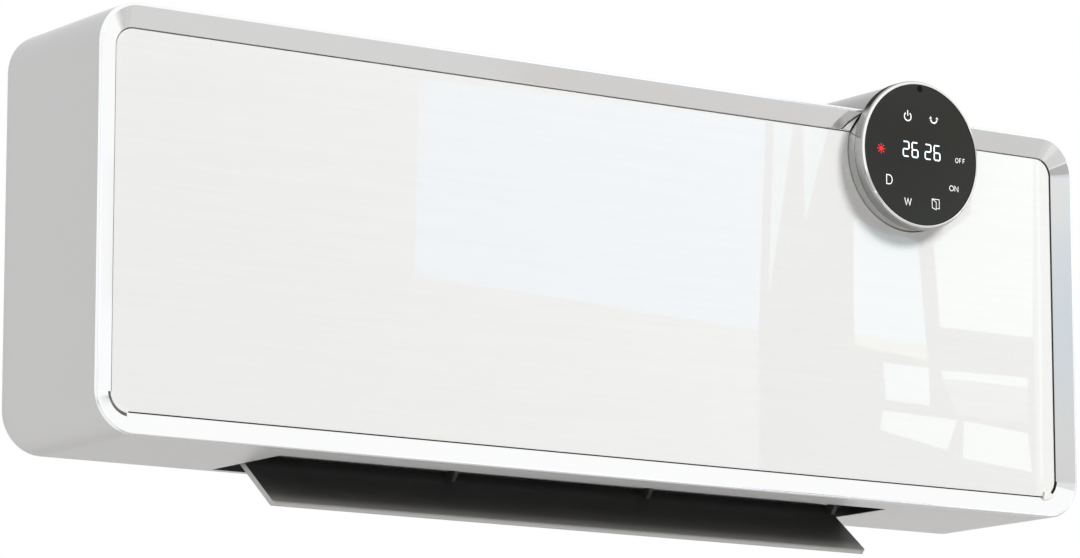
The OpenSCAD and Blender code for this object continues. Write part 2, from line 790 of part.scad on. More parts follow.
module rear_scroll() {
    step = 5;
    inner = [for (a = [scroll_start : -step : 0]) fan_point(a, scroll_r(a))];
    outer = [for (a = [0 : step : scroll_start]) fan_point(a, scroll_r(a) + duct_t)];
    color("darkgray") along_x(-plate_x, plate_x) polygon(concat(
        inner, [[mouth_back, floor_z], [mouth_back + duct_t, floor_z]], outer));
}

// Front wall of the outlet with the tongue that splits the air at the impeller
module front_scroll() {
    nose_r = rotor_r + scroll_gap;
    nose = [for (a = [206 : 4 : 234]) fan_point(a, nose_r)];
    root_z = nose[len(nose) - 1][1] - 10;
    color("darkgray") along_x(-plate_x, plate_x) polygon(concat(
        [[mouth_front - duct_t, floor_z], [mouth_front, floor_z], [mouth_front, root_z]],
        [for (i = [len(nose) - 1 : -1 : 0]) nose[i]],
        [[mouth_front - duct_t, nose[0][1]]]));
}

module end_plate_shape() {
    y0 = mouth_front - duct_t;
    y1 = mouth_back + duct_t;
    difference() {
        polygon([[y0, floor_z], [y1, floor_z], [y1, fan_z], [fan_y + 26, plate_top],
                 [fan_y - 12, plate_top], [y0, fan_z + 8]]);
        translate([hinge_y, hinge_z]) circle(bush_r + 0.02);
    }
}

module left_end_plate() {
    color("darkgray") difference() {
        along_x(-plate_x - plate_t, -plate_x) end_plate_shape();
        rod_x(13, -plate_x - plate_t - 1, -plate_x + 1, fan_y, fan_z);
        for (a = mount_turns)
            rod_x(1.7, -plate_x - plate_t - 1, -plate_x + 1,
                  fan_y + mount_r * cos(a), fan_z + mount_r * sin(a));
    }
}

module right_end_plate() {
    color("darkgray") difference() {
        along_x(plate_x, plate_x + plate_t) end_plate_shape();
        rod_x(bearing_r + 0.1, plate_x - 1, plate_x + plate_t + 1, fan_y, fan_z);
        // Notch for the heating element's leads
        block([plate_x - 1, heater_y - 19, heater_low + 6],
              [plate_x + plate_t + 1, heater_y + 19, heater_low + 14]);
    }
}

// One blade's section: an arc that starts along the radius and leans forward at the rim
function blade_section() =
    let (steps = 6, bend = 34, inner_r = rotor_r - blade_w,
         line = [for (i = [0 : steps]) let (t = i / steps)
                 [inner_r + blade_w * t, bend * t * t / 2]],
         place = function (r, a) [r * cos(a), r * sin(a)],
         half = function (r) 180 * blade_t / 2 / (PI * r))
    concat([for (p = line) place(p[0], p[1] + half(p[0]))],
           [for (i = [steps : -1 : 0]) place(line[i][0], line[i][1] - half(line[i][0]))]);

module fan_impeller() {
    bay = (rotor_l - disc_sheet) / bay_n;
    color("lightslategray") translate([0, fan_y, fan_z]) {
        along_x(-rotor_l / 2, rotor_l / 2)
            for (i = [0 : blade_n - 1]) rotate(360 * i / blade_n) polygon(blade_section());
        for (i = [0 : bay_n]) {
            x = -rotor_l / 2 + i * bay;
            end = i == 0 || i == bay_n;
            along_x(x, x + disc_sheet) difference() {
                circle(rotor_r + 0.2, $fn = 96);
                circle(end ? shaft_r : rotor_r - blade_w - 1, $fn = 96);
            }
        }
        // Hubs that grip the shaft
        for (side = [-1, 1])
            along_x(side < 0 ? -rotor_l / 2 - 4 : rotor_l / 2 - 14,
                    side < 0 ? -rotor_l / 2 + 14 : rotor_l / 2)
                difference() {
                    circle(shaft_r + 4);
                    circle(shaft_r);
                }
    }
}

module fan_shaft() {
    color("silver") {
        rod_x(shaft_r, motor_x - motor_l + 6, -rotor_l / 2 + 12, fan_y, fan_z);
        rod_x(shaft_r, rotor_l / 2 - 12, plate_x + plate_t + bearing_l, fan_y, fan_z);
    }
}

// Motor with its two end bells, cooling windows and a bore for the shaft
module fan_motor() {
    color("dimgray") difference() {
        union() {
            rod_x(motor_d / 2, motor_x - motor_l + 8, motor_x - 8, fan_y, fan_z);
            rod_x(motor_d / 2 - 4, motor_x - motor_l, motor_x, fan_y, fan_z);
            rod_x(11, motor_x - motor_l - 3, motor_x + 3, fan_y, fan_z);
            for (a = mount_turns)
                rod_x(3.4, motor_x - 10, motor_x, fan_y + mount_r * cos(a), fan_z + mount_r * sin(a));
        }
        rod_x(shaft_r + run_gap, motor_x - motor_l + 4, motor_x + 4, fan_y, fan_z);
        for (a = [0 : 60 : 300])
            rod_x(3, motor_x - motor_l - 1, motor_x - motor_l + 5,
                  fan_y + 17 * cos(a), fan_z + 17 * sin(a));
    }
}

// Three legs with rubber-ringed feet between the motor and the end plate
module motor_bracket() {
    face = -plate_x - plate_t;
    ring_t = 2;
    leg_r = 3;
    color("silver") {
        difference() {
            rod_x(mount_r + 4, face - ring_t, face, fan_y, fan_z);
            rod_x(mount_r - 8, face - ring_t - 1, face + 1, fan_y, fan_z);
        }
        for (a = mount_turns)
            rod_x(leg_r, motor_x, face - ring_t + eps,
                  fan_y + mount_r * cos(a), fan_z + mount_r * sin(a));
    }
}

module shaft_bearing() {
    color("goldenrod") difference() {
        union() {
            rod_x(bearing_r, plate_x, plate_x + plate_t + bearing_l, fan_y, fan_z);
            rod_x(bearing_r + 3, plate_x + plate_t, plate_x + plate_t + 2, fan_y, fan_z);
        }
        rod_x(shaft_r + run_gap, plate_x - 1, plate_x + plate_t + bearing_l + 1, fan_y, fan_z);
    }
}

// ---------------------------------------------------------------- heating

function fin_row_y(i) = heater_y + (i - (fin_rows - 1) / 2) * (fin_w + tube_t);

// Ceramic-filled aluminium tubes between the fin rows, and the two outer rails
module heater_tubes() {
    color("silver") {
        for (i = [0 : fin_rows - 2])
            translate([0, (fin_row_y(i) + fin_row_y(i + 1)) / 2, heater_low + heater_h / 2])
                rotate([90, 0, 90]) translate([0, 0, -heater_l / 2]) linear_extrude(heater_l)
                    round_rect(tube_t, heater_h - 2, 1.2);
        for (side = [-1, 1])
            block([-heater_l / 2, heater_y + side * (heater_w - rail_t) / 2 - rail_t / 2, heater_low],
                  [heater_l / 2, heater_y + side * (heater_w - rail_t) / 2 + rail_t / 2,
                   heater_low + heater_h]);
    }
}

// Folded fin strip: a zigzag of flat-topped waves between two tubes
module heater_fins() {
    waves = floor((heater_l - 8) / fin_pitch);
    start = -waves * fin_pitch / 2;
    flat = 0.5;
    crest = fin_w / 2;
    upper = [for (i = [0 : waves - 1]) each let (x = start + i * fin_pitch) [
        [x, -crest + fin_t], [x + flat, -crest + fin_t],
        [x + fin_pitch / 2 - flat, crest], [x + fin_pitch / 2 + flat, crest],
        [x + fin_pitch - flat, -crest + fin_t]]];
    lower = [for (i = [waves - 1 : -1 : 0]) each let (x = start + i * fin_pitch) [
        [x + fin_pitch - flat - fin_t, -crest], [x + fin_pitch / 2 + flat - fin_t, crest - fin_t],
        [x + fin_pitch / 2 - flat + fin_t, crest - fin_t], [x + flat + fin_t, -crest]]];
    color("silver") for (i = [0 : fin_rows - 1])
        translate([0, fin_row_y(i), heater_low]) linear_extrude(heater_h)
            polygon(concat(upper, [[start + waves * fin_pitch, -crest + fin_t],
                                   [start + waves * fin_pitch, -crest]], lower, [[start, -crest]]));
}

module heater_end_caps() {
    color("black") {
        end_cap();
        mirror([1, 0, 0]) difference() {
            union() {
                end_cap();
                block([fuse_x - 3.4, heater_y - 3, cap_top - eps],
                      [fuse_x + 3.4, heater_y + 3, cap_top + 2]);
            }
            rod_y(fuse_r + run_gap, heater_y - 8, heater_y + 8, fuse_x, cap_top + fuse_r);
        }
    }
}

// Right end cap: a box that the tubes push into, slotted for the terminals
module end_cap() {
    difference() {
        block([heater_l / 2 - 4, heater_y - heater_w / 2 - cap_rim, heater_low - cap_rim],
              [plate_x, heater_y + heater_w / 2 + cap_rim, heater_low + heater_h + cap_rim]);
        block([heater_l / 2 - 5, heater_y - heater_w / 2, heater_low],
              [heater_l / 2, heater_y + heater_w / 2, heater_low + heater_h]);
        for (i = [0 : fin_rows - 2])
            block([heater_l / 2 - 1, (fin_row_y(i) + fin_row_y(i + 1)) / 2 - 1.2, heater_low + 8],
                  [plate_x + 1, (fin_row_y(i) + fin_row_y(i + 1)) / 2 + 1.2, heater_low + 13]);
    }
}

module heater_terminals() {
    color("gold") for (i = [0 : fin_rows - 2]) {
        y = (fin_row_y(i) + fin_row_y(i + 1)) / 2;
        block([heater_l / 2, y - 0.4, heater_low + 8.5],
              [plate_x + plate_t + 5, y + 0.4, heater_low + 12.5]);
    }
}

// Snap-action cut-out that stands on the right end cap
module thermal_cutout() {
    cup_h = 6;
    tab_h = 5;
    color("saddlebrown") {
        translate([fuse_x, heater_y, cap_top]) cylinder(r = 6.6, h = 1);
        translate([fuse_x, heater_y, cap_top + 1 - eps]) cylinder(r = 5.6, h = cup_h);
        for (side = [-1, 1])
            block([fuse_x - 0.4, heater_y + side * 3.4 - 2, cap_top + 1 + cup_h - 2 * eps],
                  [fuse_x + 0.4, heater_y + side * 3.4 + 2, cap_top + 1 + cup_h + tab_h]);
    }
}

// Thermal fuse with its two leads, lying in the saddle of the left end cap
module thermal_fuse() {
    z = cap_top + fuse_r;
    color("white") {
        rod_y(fuse_r, heater_y - 6, heater_y + 6, -fuse_x, z);
        rod_y(0.6, heater_y - 18, heater_y + 18, -fuse_x, z);
    }
}

// ---------------------------------------------------------------- outlet

module outlet_guard() {
    guard_w = 2 * (plate_x - gap);
    guard_d = mouth_back - mouth_front - 2 * gap;
    bar = 1.4;
    rows = 6;
    posts = 11;
    color("dimgray") translate([0, heater_y, guard_z]) linear_extrude(guard_t) {
        difference() {
            square([guard_w, guard_d], center = true);
            square([guard_w - 14, guard_d - 6], center = true);
        }
        for (i = [1 : rows - 1])
            translate([0, (i / rows - 0.5) * (guard_d - 6)])
                square([guard_w - 13, bar], center = true);
        for (i = [1 : posts - 1])
            translate([(i / posts - 0.5) * (guard_w - 14), 0])
                square([bar, guard_d - 5], center = true);
    }
}

// Plate with a rounded front edge, drawn shut, and four arms that clamp the rod
module outlet_flap() {
    edge = 1.2;
    arm_x = flap_w / 2 - arm_t / 2;
    color("lightgray") flap_opened() difference() {
        union() {
            intersection() {
                along_x(-flap_w / 2, flap_w / 2) polygon([
                    [-flap_front, -hinge_h + edge], [-flap_front + 0.4 * edge, -hinge_h + 0.4 * edge],
                    [-flap_front + edge, -hinge_h], [flap_rear, -hinge_h],
                    [flap_rear, -hinge_h + flap_t], [-flap_front + edge, -hinge_h + flap_t],
                    [-flap_front, -hinge_h + flap_t - edge / 2]]);
                translate([0, (flap_rear - flap_front) / 2, -housing_h]) linear_extrude(2 * housing_h)
                    round_rect(flap_w, flap_rear + flap_front, 2.5);
            }
            for (i = [-1, -1 / 3, 1 / 3, 1])
                along_x(i * arm_x - arm_t / 2, i * arm_x + arm_t / 2) {
                    circle(arm_r);
                    translate([-arm_r, -hinge_h + flap_t - eps])
                        square([2 * arm_r, hinge_h - flap_t]);
                }
        }
        rod_x(rod_d / 2, -flap_w, flap_w);
    }
}

module flap_rod() {
    color("silver")
        rod_x(rod_d / 2, flap_crank_x, plate_x + plate_t + 1.2, hinge_y, hinge_z);
}

module flap_bushes() {
    color("black") for (flip = [0, 1]) mirror([flip, 0, 0]) difference() {
        union() {
            rod_x(bush_r, plate_x, plate_x + plate_t, hinge_y, hinge_z);
            rod_x(bush_r + 0.7, plate_x + plate_t, plate_x + plate_t + 0.8, hinge_y, hinge_z);
        }
        rod_x(rod_d / 2 + run_gap, plate_x - 1, plate_x + plate_t + 2, hinge_y, hinge_z);
    }
}

// Flat crank from a shaft at the origin of Y and Z to its pin
module crank_arm(hub_r, eye_r, width) {
    circle(hub_r);
    translate([crank_pin[1], crank_pin[2]]) circle(eye_r);
    rotate(crank_angle) translate([0, -width / 2]) square([crank_r, width]);
}

module flap_crank() {
    color("white") translate([0, hinge_y, hinge_z]) {
        along_x(flap_crank_x, flap_crank_x + crank_t) difference() {
            crank_arm(rod_d / 2 + 1.4, pin_r + 1.2, 4);
            circle(rod_d / 2);
        }
        rod_x(pin_r, link_x - 0.1, flap_crank_x + eps, crank_pin[1], crank_pin[2]);
    }
}

module link_rod() {
    reach = [swing_y - hinge_y, swing_z - hinge_z];
    color("white") translate([0, hinge_y + crank_pin[1], hinge_z + crank_pin[2]])
        along_x(link_x, link_x + link_t) difference() {
            union() {
                rotate(atan2(reach[1], reach[0])) translate([0, -2]) square([norm(reach), 4]);
                circle(pin_r + 1.8);
                translate(reach) circle(pin_r + 1.8);
            }
            circle(pin_r + run_gap);
            translate(reach) circle(pin_r + run_gap);
        }
}

module motor_crank() {
    shaft = 2.5;
    color("white") translate([0, swing_y, swing_z]) {
        along_x(motor_crank_x, motor_crank_x + crank_t) crank_arm(4.4, pin_r + 1.6, 5);
        rod_x(pin_r, motor_crank_x + crank_t - eps, link_x + link_t + 0.1,
              crank_pin[1], crank_pin[2]);
        rod_x(shaft, motor_crank_x - 6, motor_crank_x + eps);
    }
}

// Small geared motor with two ears that screw to posts on the end plate
module swing_motor() {
    face = motor_crank_x - 0.6;
    reach = norm([swing_y - hinge_y, swing_z - hinge_z]);
    across = [swing_z - hinge_z, hinge_y - swing_y] / reach;
    ear = swing_r + 3.6;
    color("lightsteelblue") translate([0, swing_y, swing_z]) difference() {
        union() {
            rod_x(swing_r, face - swing_l, face);
            along_x(face - 1.2, face) {
                for (side = [-1, 1]) translate(side * ear * across) circle(4);
                rotate(atan2(across[1], across[0])) square([2 * ear, 8], center = true);
            }
            for (side = [-1, 1])
                rod_x(2.4, face - eps, -plate_x - plate_t, side * ear * across[0],
                      side * ear * across[1]);
        }
        rod_x(2.5 + run_gap, motor_crank_x - 8, motor_crank_x);
    }
}

// ---------------------------------------------------------------- electrics

// Round wire through a list of points, with rounded elbows
module wire(points, r) {
    for (i = [0 : len(points) - 2]) {
        a = points[i];
        v = points[i + 1] - a;
        translate(a) rotate([0, acos(v[2] / norm(v)), atan2(v[1], v[0])])
            cylinder(r = r, h = norm(v));
        if (i > 0) translate(a) sphere(1.04 * r);
    }
}

board_face = board_y - pcb_t;
board_left = board_x - board_w / 2;

module power_board() {
    color("darkgreen") difference() {
        translate([board_x, 0, board_z]) along_y(board_face, board_y)
            square([board_w, board_h], center = true);
        for (spot = board_spots)
            rod_y(board_screw_r + screw_gap, board_face - 1, board_y + 1, spot[0], spot[1]);
    }
}

module board_screws() {
    head_r = 2.4;
    head_h = 1.6;
    color("silver") for (spot = board_spots) {
        rod_y(board_screw_r, board_face - eps, board_y + 7, spot[0], spot[1]);
        difference() {
            rod_y(head_r, board_face - head_h, board_face, spot[0], spot[1]);
            block([spot[0] - 1.6, board_face - head_h - 0.4, spot[1] - 0.3],
                  [spot[0] + 1.6, board_face - head_h / 2, spot[1] + 0.3]);
        }
    }
}

module relays() {
    pitch = 20;
    size = [15.4, 15, 19];
    color("royalblue") for (i = [0 : 2])
        translate([board_left + 16 + pitch * i, 0, board_low + 54])
            along_y(board_face - size[1], board_face) round_rect(size[0], size[2], 0.8);
}

// Switching supply: potted transformer and its smoothing capacitor
module power_supply() {
    side = 20;
    can_r = 5;
    x = board_x + board_w / 2 - 2 * can_r - 3;
    z = board_low + 22;
    color("gold") {
        translate([x - side / 2, 0, z])
            along_y(board_face - 16, board_face) round_rect(side, side, 1);
        rod_y(can_r, board_face - 14, board_face, x + can_r + 1, z);
    }
}

// Film capacitor and wound choke that keep noise off the mains
module noise_filter() {
    film = [18, 14, 8];
    core_r = 6;
    coil_r = 3.5;
    x = board_x - 12;
    z = board_low + 14;
    color("orange") {
        translate([x, 0, z]) along_y(board_face - film[1], board_face)
            round_rect(film[0], film[2], 0.8);
        translate([x, board_face - coil_r, z + film[2] / 2 + core_r + coil_r + 0.5])
            rotate([90, 0, 0]) rotate_extrude() translate([core_r, 0]) circle(coil_r);
    }
}

module terminal_block() {
    pitch = 10;
    color("ivory") translate([terminal_x, terminal_y, floor_z]) difference() {
        union() {
            block([-17, -8, 0], [17, 8, 5]);
            for (i = [-1, 0, 1]) block([i * pitch - 4.4, -8, 5 - eps], [i * pitch + 4.4, 8, 16]);
        }
        for (i = [-1, 0, 1]) {
            translate([i * pitch, 0, 8]) cylinder(r = 2.6, h = 10);
            rod_y(2, -10, 10, i * pitch, 7.4);
        }
    }
}

module heater_leads() {
    z = heater_low + 10.5;
    color("firebrick") for (i = [0 : fin_rows - 2]) {
        y = (fin_row_y(i) + fin_row_y(i + 1)) / 2;
        x = board_left + 16 + 8 * i;
        wire([[plate_x + plate_t + 5, y, z], [x, y, z], [x, board_face, z]], 1.3);
    }
}

module motor_leads() {
    r = 1.2;
    x0 = motor_x - motor_l / 2 - 5;
    x1 = board_left + 2.6;
    low = floor_z + 10;
    front = mouth_front - duct_t - r - 0.6;
    end_z = board_low + 14;
    color("saddlebrown")
        wire([[x0, fan_y, fan_z - motor_d / 2 + 0.3], [x0, fan_y, low], [x0, front, low],
              [x1, front, low], [x1, board_face - 6, low], [x1, board_face - 6, end_z],
              [x1, board_face, end_z]], r);
}

module room_sensor() {
    x = plate_x + plate_t / 2;
    y = fan_y - 5;
    color("black") {
        translate([x, y, plate_top]) cylinder(r = 1, h = 10);
        translate([x, y, plate_top + 10]) sphere(2);
    }
}

module switch_body() {
    wall = housing_w / 2;
    color("black") translate([0, switch_y, switch_z]) difference() {
        union() {
            along_x(wall, wall + switch_flange_t) round_rect(body_w + 4, body_l + 4, 2);
            along_x(wall - switch_depth, wall + eps) square([body_w, body_l], center = true);
            for (i = [-1, 0, 1])
                block([wall - switch_depth - 8, -3.1, i * 8 - 0.4],
                      [wall - switch_depth + eps, 3.1, i * 8 + 0.4]);
        }
        along_x(rocker_x - 8.5, wall + 5)
            square([rocker_w + 2 * gap, rocker_l + 1.8], center = true);
        rod_y(rocker_pin_r + run_gap, -rocker_w / 2 - 1.4, rocker_w / 2 + 1.4, rocker_x, 0);
    }
}

// Rocker pressed at its lower end, with a trunnion pin on each side
module rocker() {
    half = rocker_l / 2;
    color("dimgray") translate([rocker_x, switch_y, switch_z]) rotate([0, rocker_tilt, 0]) {
        along_y(-rocker_w / 2, rocker_w / 2)
            polygon([[-1, -half], [3, -half], [3.2, -half + 1], [1.2, -1.5], [1.2, 1.5],
                     [3.2, half - 1], [3, half], [-1, half], [-5.5, 4], [-5.5, -4]]);
        rod_y(rocker_pin_r, -rocker_w / 2 - 1, rocker_w / 2 + 1);
    }
}

module cable_gland() {
    wall = housing_w / 2;
    color("black") difference() {
        union() {
            rod_x(gland_r + 3, wall, wall + gland_flange_t, gland_y, gland_z);
            rod_x(gland_r, side_x - gland_in, wall + eps, gland_y, gland_z);
        }
        rod_x(gland_bore / 2, side_x - gland_in - 1, wall + gland_flange_t + 1, gland_y, gland_z);
    }
}

module gland_nut() {
    color("black") difference() {
        translate([side_x - nut_t, gland_y, gland_z]) rotate([0, 90, 0])
            cylinder(r = gland_r + 3.6, h = nut_t, $fn = 6);
        rod_x(gland_r + run_gap, side_x - nut_t - 1, side_x + 1, gland_y, gland_z);
    }
}

// ---------------------------------------------------------------- pieces

main_housing();
back_cover();
front_frame();
front_glass();
glass_carrier();
glass_clip();
pod_barrel();
pod_gasket();
pod_ring();
touch_glass();
ir_window();
display_board();
digit_module();
touch_springs();
ir_receiver();
buzzer();
display_ribbon();
inlet_grille();
dust_filter();
rear_scroll();
front_scroll();
left_end_plate();
right_end_plate();
fan_impeller();
fan_shaft();
fan_motor();
motor_bracket();
shaft_bearing();
heater_tubes();
heater_fins();
heater_end_caps();
heater_terminals();
thermal_cutout();
thermal_fuse();
outlet_guard();
outlet_flap();
flap_rod();
flap_bushes();
flap_crank();
link_rod();
motor_crank();
swing_motor();
power_board();
relays();
power_supply();
noise_filter();
terminal_block();
heater_leads();
motor_leads();
switch_body();
rocker();
cable_gland();
gland_nut();
room_sensor();
wall_bracket();
cover_screws();
front_screws();
board_screws();
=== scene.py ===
"""Dresses the bathroom wall fan heater for its photograph: finishes, trim, marks, light and camera."""
import bpy
import bmesh
import json
from math import cos, pi, radians, sin
from mathutils import Matrix, Vector


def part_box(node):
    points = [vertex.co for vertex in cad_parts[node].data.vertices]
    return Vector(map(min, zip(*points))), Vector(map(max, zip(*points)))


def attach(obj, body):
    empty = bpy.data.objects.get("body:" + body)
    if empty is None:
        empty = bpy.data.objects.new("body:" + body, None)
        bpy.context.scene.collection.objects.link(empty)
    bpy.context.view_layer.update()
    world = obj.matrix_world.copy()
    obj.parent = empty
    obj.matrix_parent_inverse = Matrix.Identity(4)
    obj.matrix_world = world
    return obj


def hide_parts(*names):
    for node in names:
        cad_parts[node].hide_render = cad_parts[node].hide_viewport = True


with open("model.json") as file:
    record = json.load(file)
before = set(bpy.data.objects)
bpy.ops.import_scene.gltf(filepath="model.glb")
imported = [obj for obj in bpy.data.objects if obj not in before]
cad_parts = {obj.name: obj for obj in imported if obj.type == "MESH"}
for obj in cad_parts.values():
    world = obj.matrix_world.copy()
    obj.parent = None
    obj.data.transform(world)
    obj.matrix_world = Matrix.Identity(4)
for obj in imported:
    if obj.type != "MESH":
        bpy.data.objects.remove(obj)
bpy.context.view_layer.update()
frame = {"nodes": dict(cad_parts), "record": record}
nodes = frame["nodes"]
scene = bpy.context.scene
MM = 0.001

# ------------------------------------------------------------------ sizes taken from the model

glass_low, glass_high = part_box("front_glass")
disc_low, disc_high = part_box("touch_glass")
housing_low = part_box("main_housing")[0]

# Middle of the touch glass, the outlet's mouth, and the flap: its tilt in degrees and its inner face
POD = Vector(((disc_low.x + disc_high.x) / 2, disc_low.y, (disc_low.z + disc_high.z) / 2))
DISC_R = (disc_high.x - disc_low.x) / 2
MOUTH_X, MOUTH_FRONT, MOUTH_BACK = 0.186, -0.0685, -0.0044
FLAP_TILT, FLAP_FACE = 39.0, -0.004


# ------------------------------------------------------------------ camera

# Fitted to the photo: the place in metres, the turns in degrees and the lens for a 36 mm sensor
SENSOR_W = 36
CAMERA_PLACE = Vector((-1.39470, -2.01765, -0.41179))
CAMERA_YAW, CAMERA_PITCH, CAMERA_ROLL = -34.9114, 9.7691, -0.0538
CAMERA_LENS = 160.854


def make_camera():
    """The photo's viewing angle"""
    data = bpy.data.cameras.new("viewpoint")
    data.sensor_width = SENSOR_W
    data.sensor_fit = "HORIZONTAL"
    data.lens = CAMERA_LENS
    data.clip_start, data.clip_end = 0.05, 50
    camera = bpy.data.objects.new("viewpoint", data)
    scene.collection.objects.link(camera)
    yaw = Matrix.Rotation(radians(CAMERA_YAW), 4, "Z")
    pitch = Matrix.Rotation(radians(90 + CAMERA_PITCH), 4, "X")
    roll = Matrix.Rotation(radians(CAMERA_ROLL), 4, "Z")
    camera.matrix_world = Matrix.Translation(CAMERA_PLACE) @ yaw @ pitch @ roll
    scene.camera = camera


# ------------------------------------------------------------------ shader helpers

class Board:
    """A node tree under construction, with short calls for the nodes this script uses"""

    def __init__(self, tree):
        self.tree = tree

    def add(self, kind, values=None, **settings):
        made = self.tree.nodes.new(kind)
        for key, value in settings.items():
            setattr(made, key, value)
        for key, value in (values or {}).items():
            self.feed(value, made.inputs[key])
        return made

    def feed(self, value, socket):
        if isinstance(value, bpy.types.NodeSocket):
            self.tree.links.new(value, socket)
        else:
            socket.default_value = value

    def math(self, operation, *values):
        return self.add("ShaderNodeMath", dict(enumerate(values)), operation=operation).outputs[0]

    def mix(self, share, a, b, blend="MIX"):
        made = self.add("ShaderNodeMix", data_type="RGBA", blend_type=blend)
        for name, value in (("Factor_Float", share), ("A_Color", a), ("B_Color", b)):
            self.feed(value, next(s for s in made.inputs if s.identifier == name))
        return next(s for s in made.outputs if s.identifier == "Result_Color")

    def ramp(self, value, low, high, to_low=0.0, to_high=1.0, smooth=False):
        made = self.add("ShaderNodeMapRange", {"Value": value, "From Min": low, "From Max": high,
                                               "To Min": to_low, "To Max": to_high})
        made.interpolation_type = "SMOOTHSTEP" if smooth else "LINEAR"
        return made.outputs["Result"]

    def spots(self, where, scale, detail, roughness):
        made = self.add("ShaderNodeTexNoise", {"Vector": where, "Scale": scale, "Detail": detail,
                                               "Roughness": roughness})
        return made.outputs["Fac"]


def rgb(r, g, b):
    return (r, g, b, 1.0)


def shader_group(name, inputs, outputs, build):
    """Makes a group whose sockets are [name, kind, default], filled in by build(board, given)"""
    tree = bpy.data.node_groups.new(name, "ShaderNodeTree")
    for label, kind, value in inputs:
        socket = tree.interface.new_socket(label, in_out="INPUT", socket_type="NodeSocket" + kind)
        socket.default_value = value
    for label, kind in outputs:
        tree.interface.new_socket(label, in_out="OUTPUT", socket_type="NodeSocket" + kind)
    board = Board(tree)
    given = board.add("NodeGroupInput").outputs
    made = build(board, given)
    board.add("NodeGroupOutput", made)
    return tree


def varied(board, given, pattern, amount, height):
    """The group's outputs, with tone and gloss both swayed by one pattern"""
    sway = board.ramp(pattern, 0.3, 0.7, -0.5, 0.5)
    tone = board.math("MULTIPLY_ADD", sway, given[amount], 1.0)
    shade = board.add("ShaderNodeCombineColor", {0: tone, 1: tone, 2: tone}).outputs[0]
    colour = board.mix(1.0, given["Colour"], shade, "MULTIPLY")
    rough = board.math("ADD", given["Roughness"], board.math("MULTIPLY", sway, given["Gloss drift"]))
    return {"Colour": colour, "Roughness": rough, "Height": height}


def build_skin(board, given):
    """Moulded surface: soft tone drift, a fine eroded grain and a slow change of gloss"""
    where = board.add("ShaderNodeTexCoord").outputs["Object"]
    fine = board.spots(where, given["Grain scale"], 2.0, 0.6)
    return varied(board, given, board.spots(where, 9.0, 2.0, 0.55), "Drift", fine)


def build_strokes(board, given):
    """Fine parallel lines along one axis, as brushing, polishing or drawing leaves"""
    where = board.add("ShaderNodeTexCoord").outputs["Object"]
    stretched = board.add("ShaderNodeMapping", {"Vector": where, "Scale": given["Stretch"]}).outputs[0]
    lines = board.spots(stretched, given["Line scale"], 3.0, 0.65)
    return varied(board, given, lines, "Contrast", lines)


SKIN = shader_group(
    "moulded skin",
    [("Colour", "Color", rgb(0.8, 0.8, 0.8)), ("Roughness", "Float", 0.4), ("Drift", "Float", 0.03),
     ("Gloss drift", "Float", 0.06), ("Grain scale", "Float", 1400.0)],
    [("Colour", "Color"), ("Roughness", "Float"), ("Height", "Float")], build_skin)
STROKES = shader_group(
    "drawn strokes",
    [("Colour", "Color", rgb(0.8, 0.8, 0.8)), ("Roughness", "Float", 0.3), ("Contrast", "Float", 0.1),
     ("Gloss drift", "Float", 0.1), ("Line scale", "Float", 400.0),
     ("Stretch", "Vector", (0.02, 1.0, 1.0))],
    [("Colour", "Color"), ("Roughness", "Float"), ("Height", "Float")], build_strokes)


def build_axis_zone(board, given):
    """Rises from 0 to 1 between two distances along an axis of the object"""
    where = board.add("ShaderNodeTexCoord").outputs["Object"]
    reach = board.add("ShaderNodeVectorMath", {0: where, 1: given["Axis"]}, operation="DOT_PRODUCT")
    return {"Mask": board.ramp(reach.outputs["Value"], given["From"], given["To"], smooth=True)}


def build_box_zone(board, given):
    """1 inside a box given by its lowest and highest corners"""
    where = board.add("ShaderNodeTexCoord").outputs["Object"]
    over = board.add("ShaderNodeVectorMath", {0: where, 1: given["Low"]}, operation="SUBTRACT").outputs[0]
    under = board.add("ShaderNodeVectorMath", {0: given["High"], 1: where},
                      operation="SUBTRACT").outputs[0]
    least = board.add("ShaderNodeVectorMath", {0: over, 1: under}, operation="MINIMUM").outputs[0]
    parts = board.add("ShaderNodeSeparateXYZ", {0: least}).outputs
    depth = board.math("MINIMUM", board.math("MINIMUM", parts[0], parts[1]), parts[2])
    return {"Mask": board.math("GREATER_THAN", depth, 0.0)}


ALONG = shader_group(
    "zone along an axis", [("Axis", "Vector", (0, 1, 0)), ("From", "Float", 0.0), ("To", "Float", 1.0)],
    [("Mask", "Float")], build_axis_zone)
INSIDE = shader_group(
    "zone in a box", [("Low", "Vector", (0, 0, 0)), ("High", "Vector", (1, 1, 1))],
    [("Mask", "Float")], build_box_zone)


def along(axis, level, edges):
    """Zone that rises between two edges, both measured from a level on this axis"""
    return ALONG, {"Axis": axis, "From": level + edges[0], "To": level + edges[1]}


def inside(low, high):
    return INSIDE, {"Low": low, "High": high}


def group_node(board, group, values):
    made = board.add("ShaderNodeGroup", node_tree=group)
    for key, value in values.items():
        made.inputs[key].default_value = value
    return made.outputs


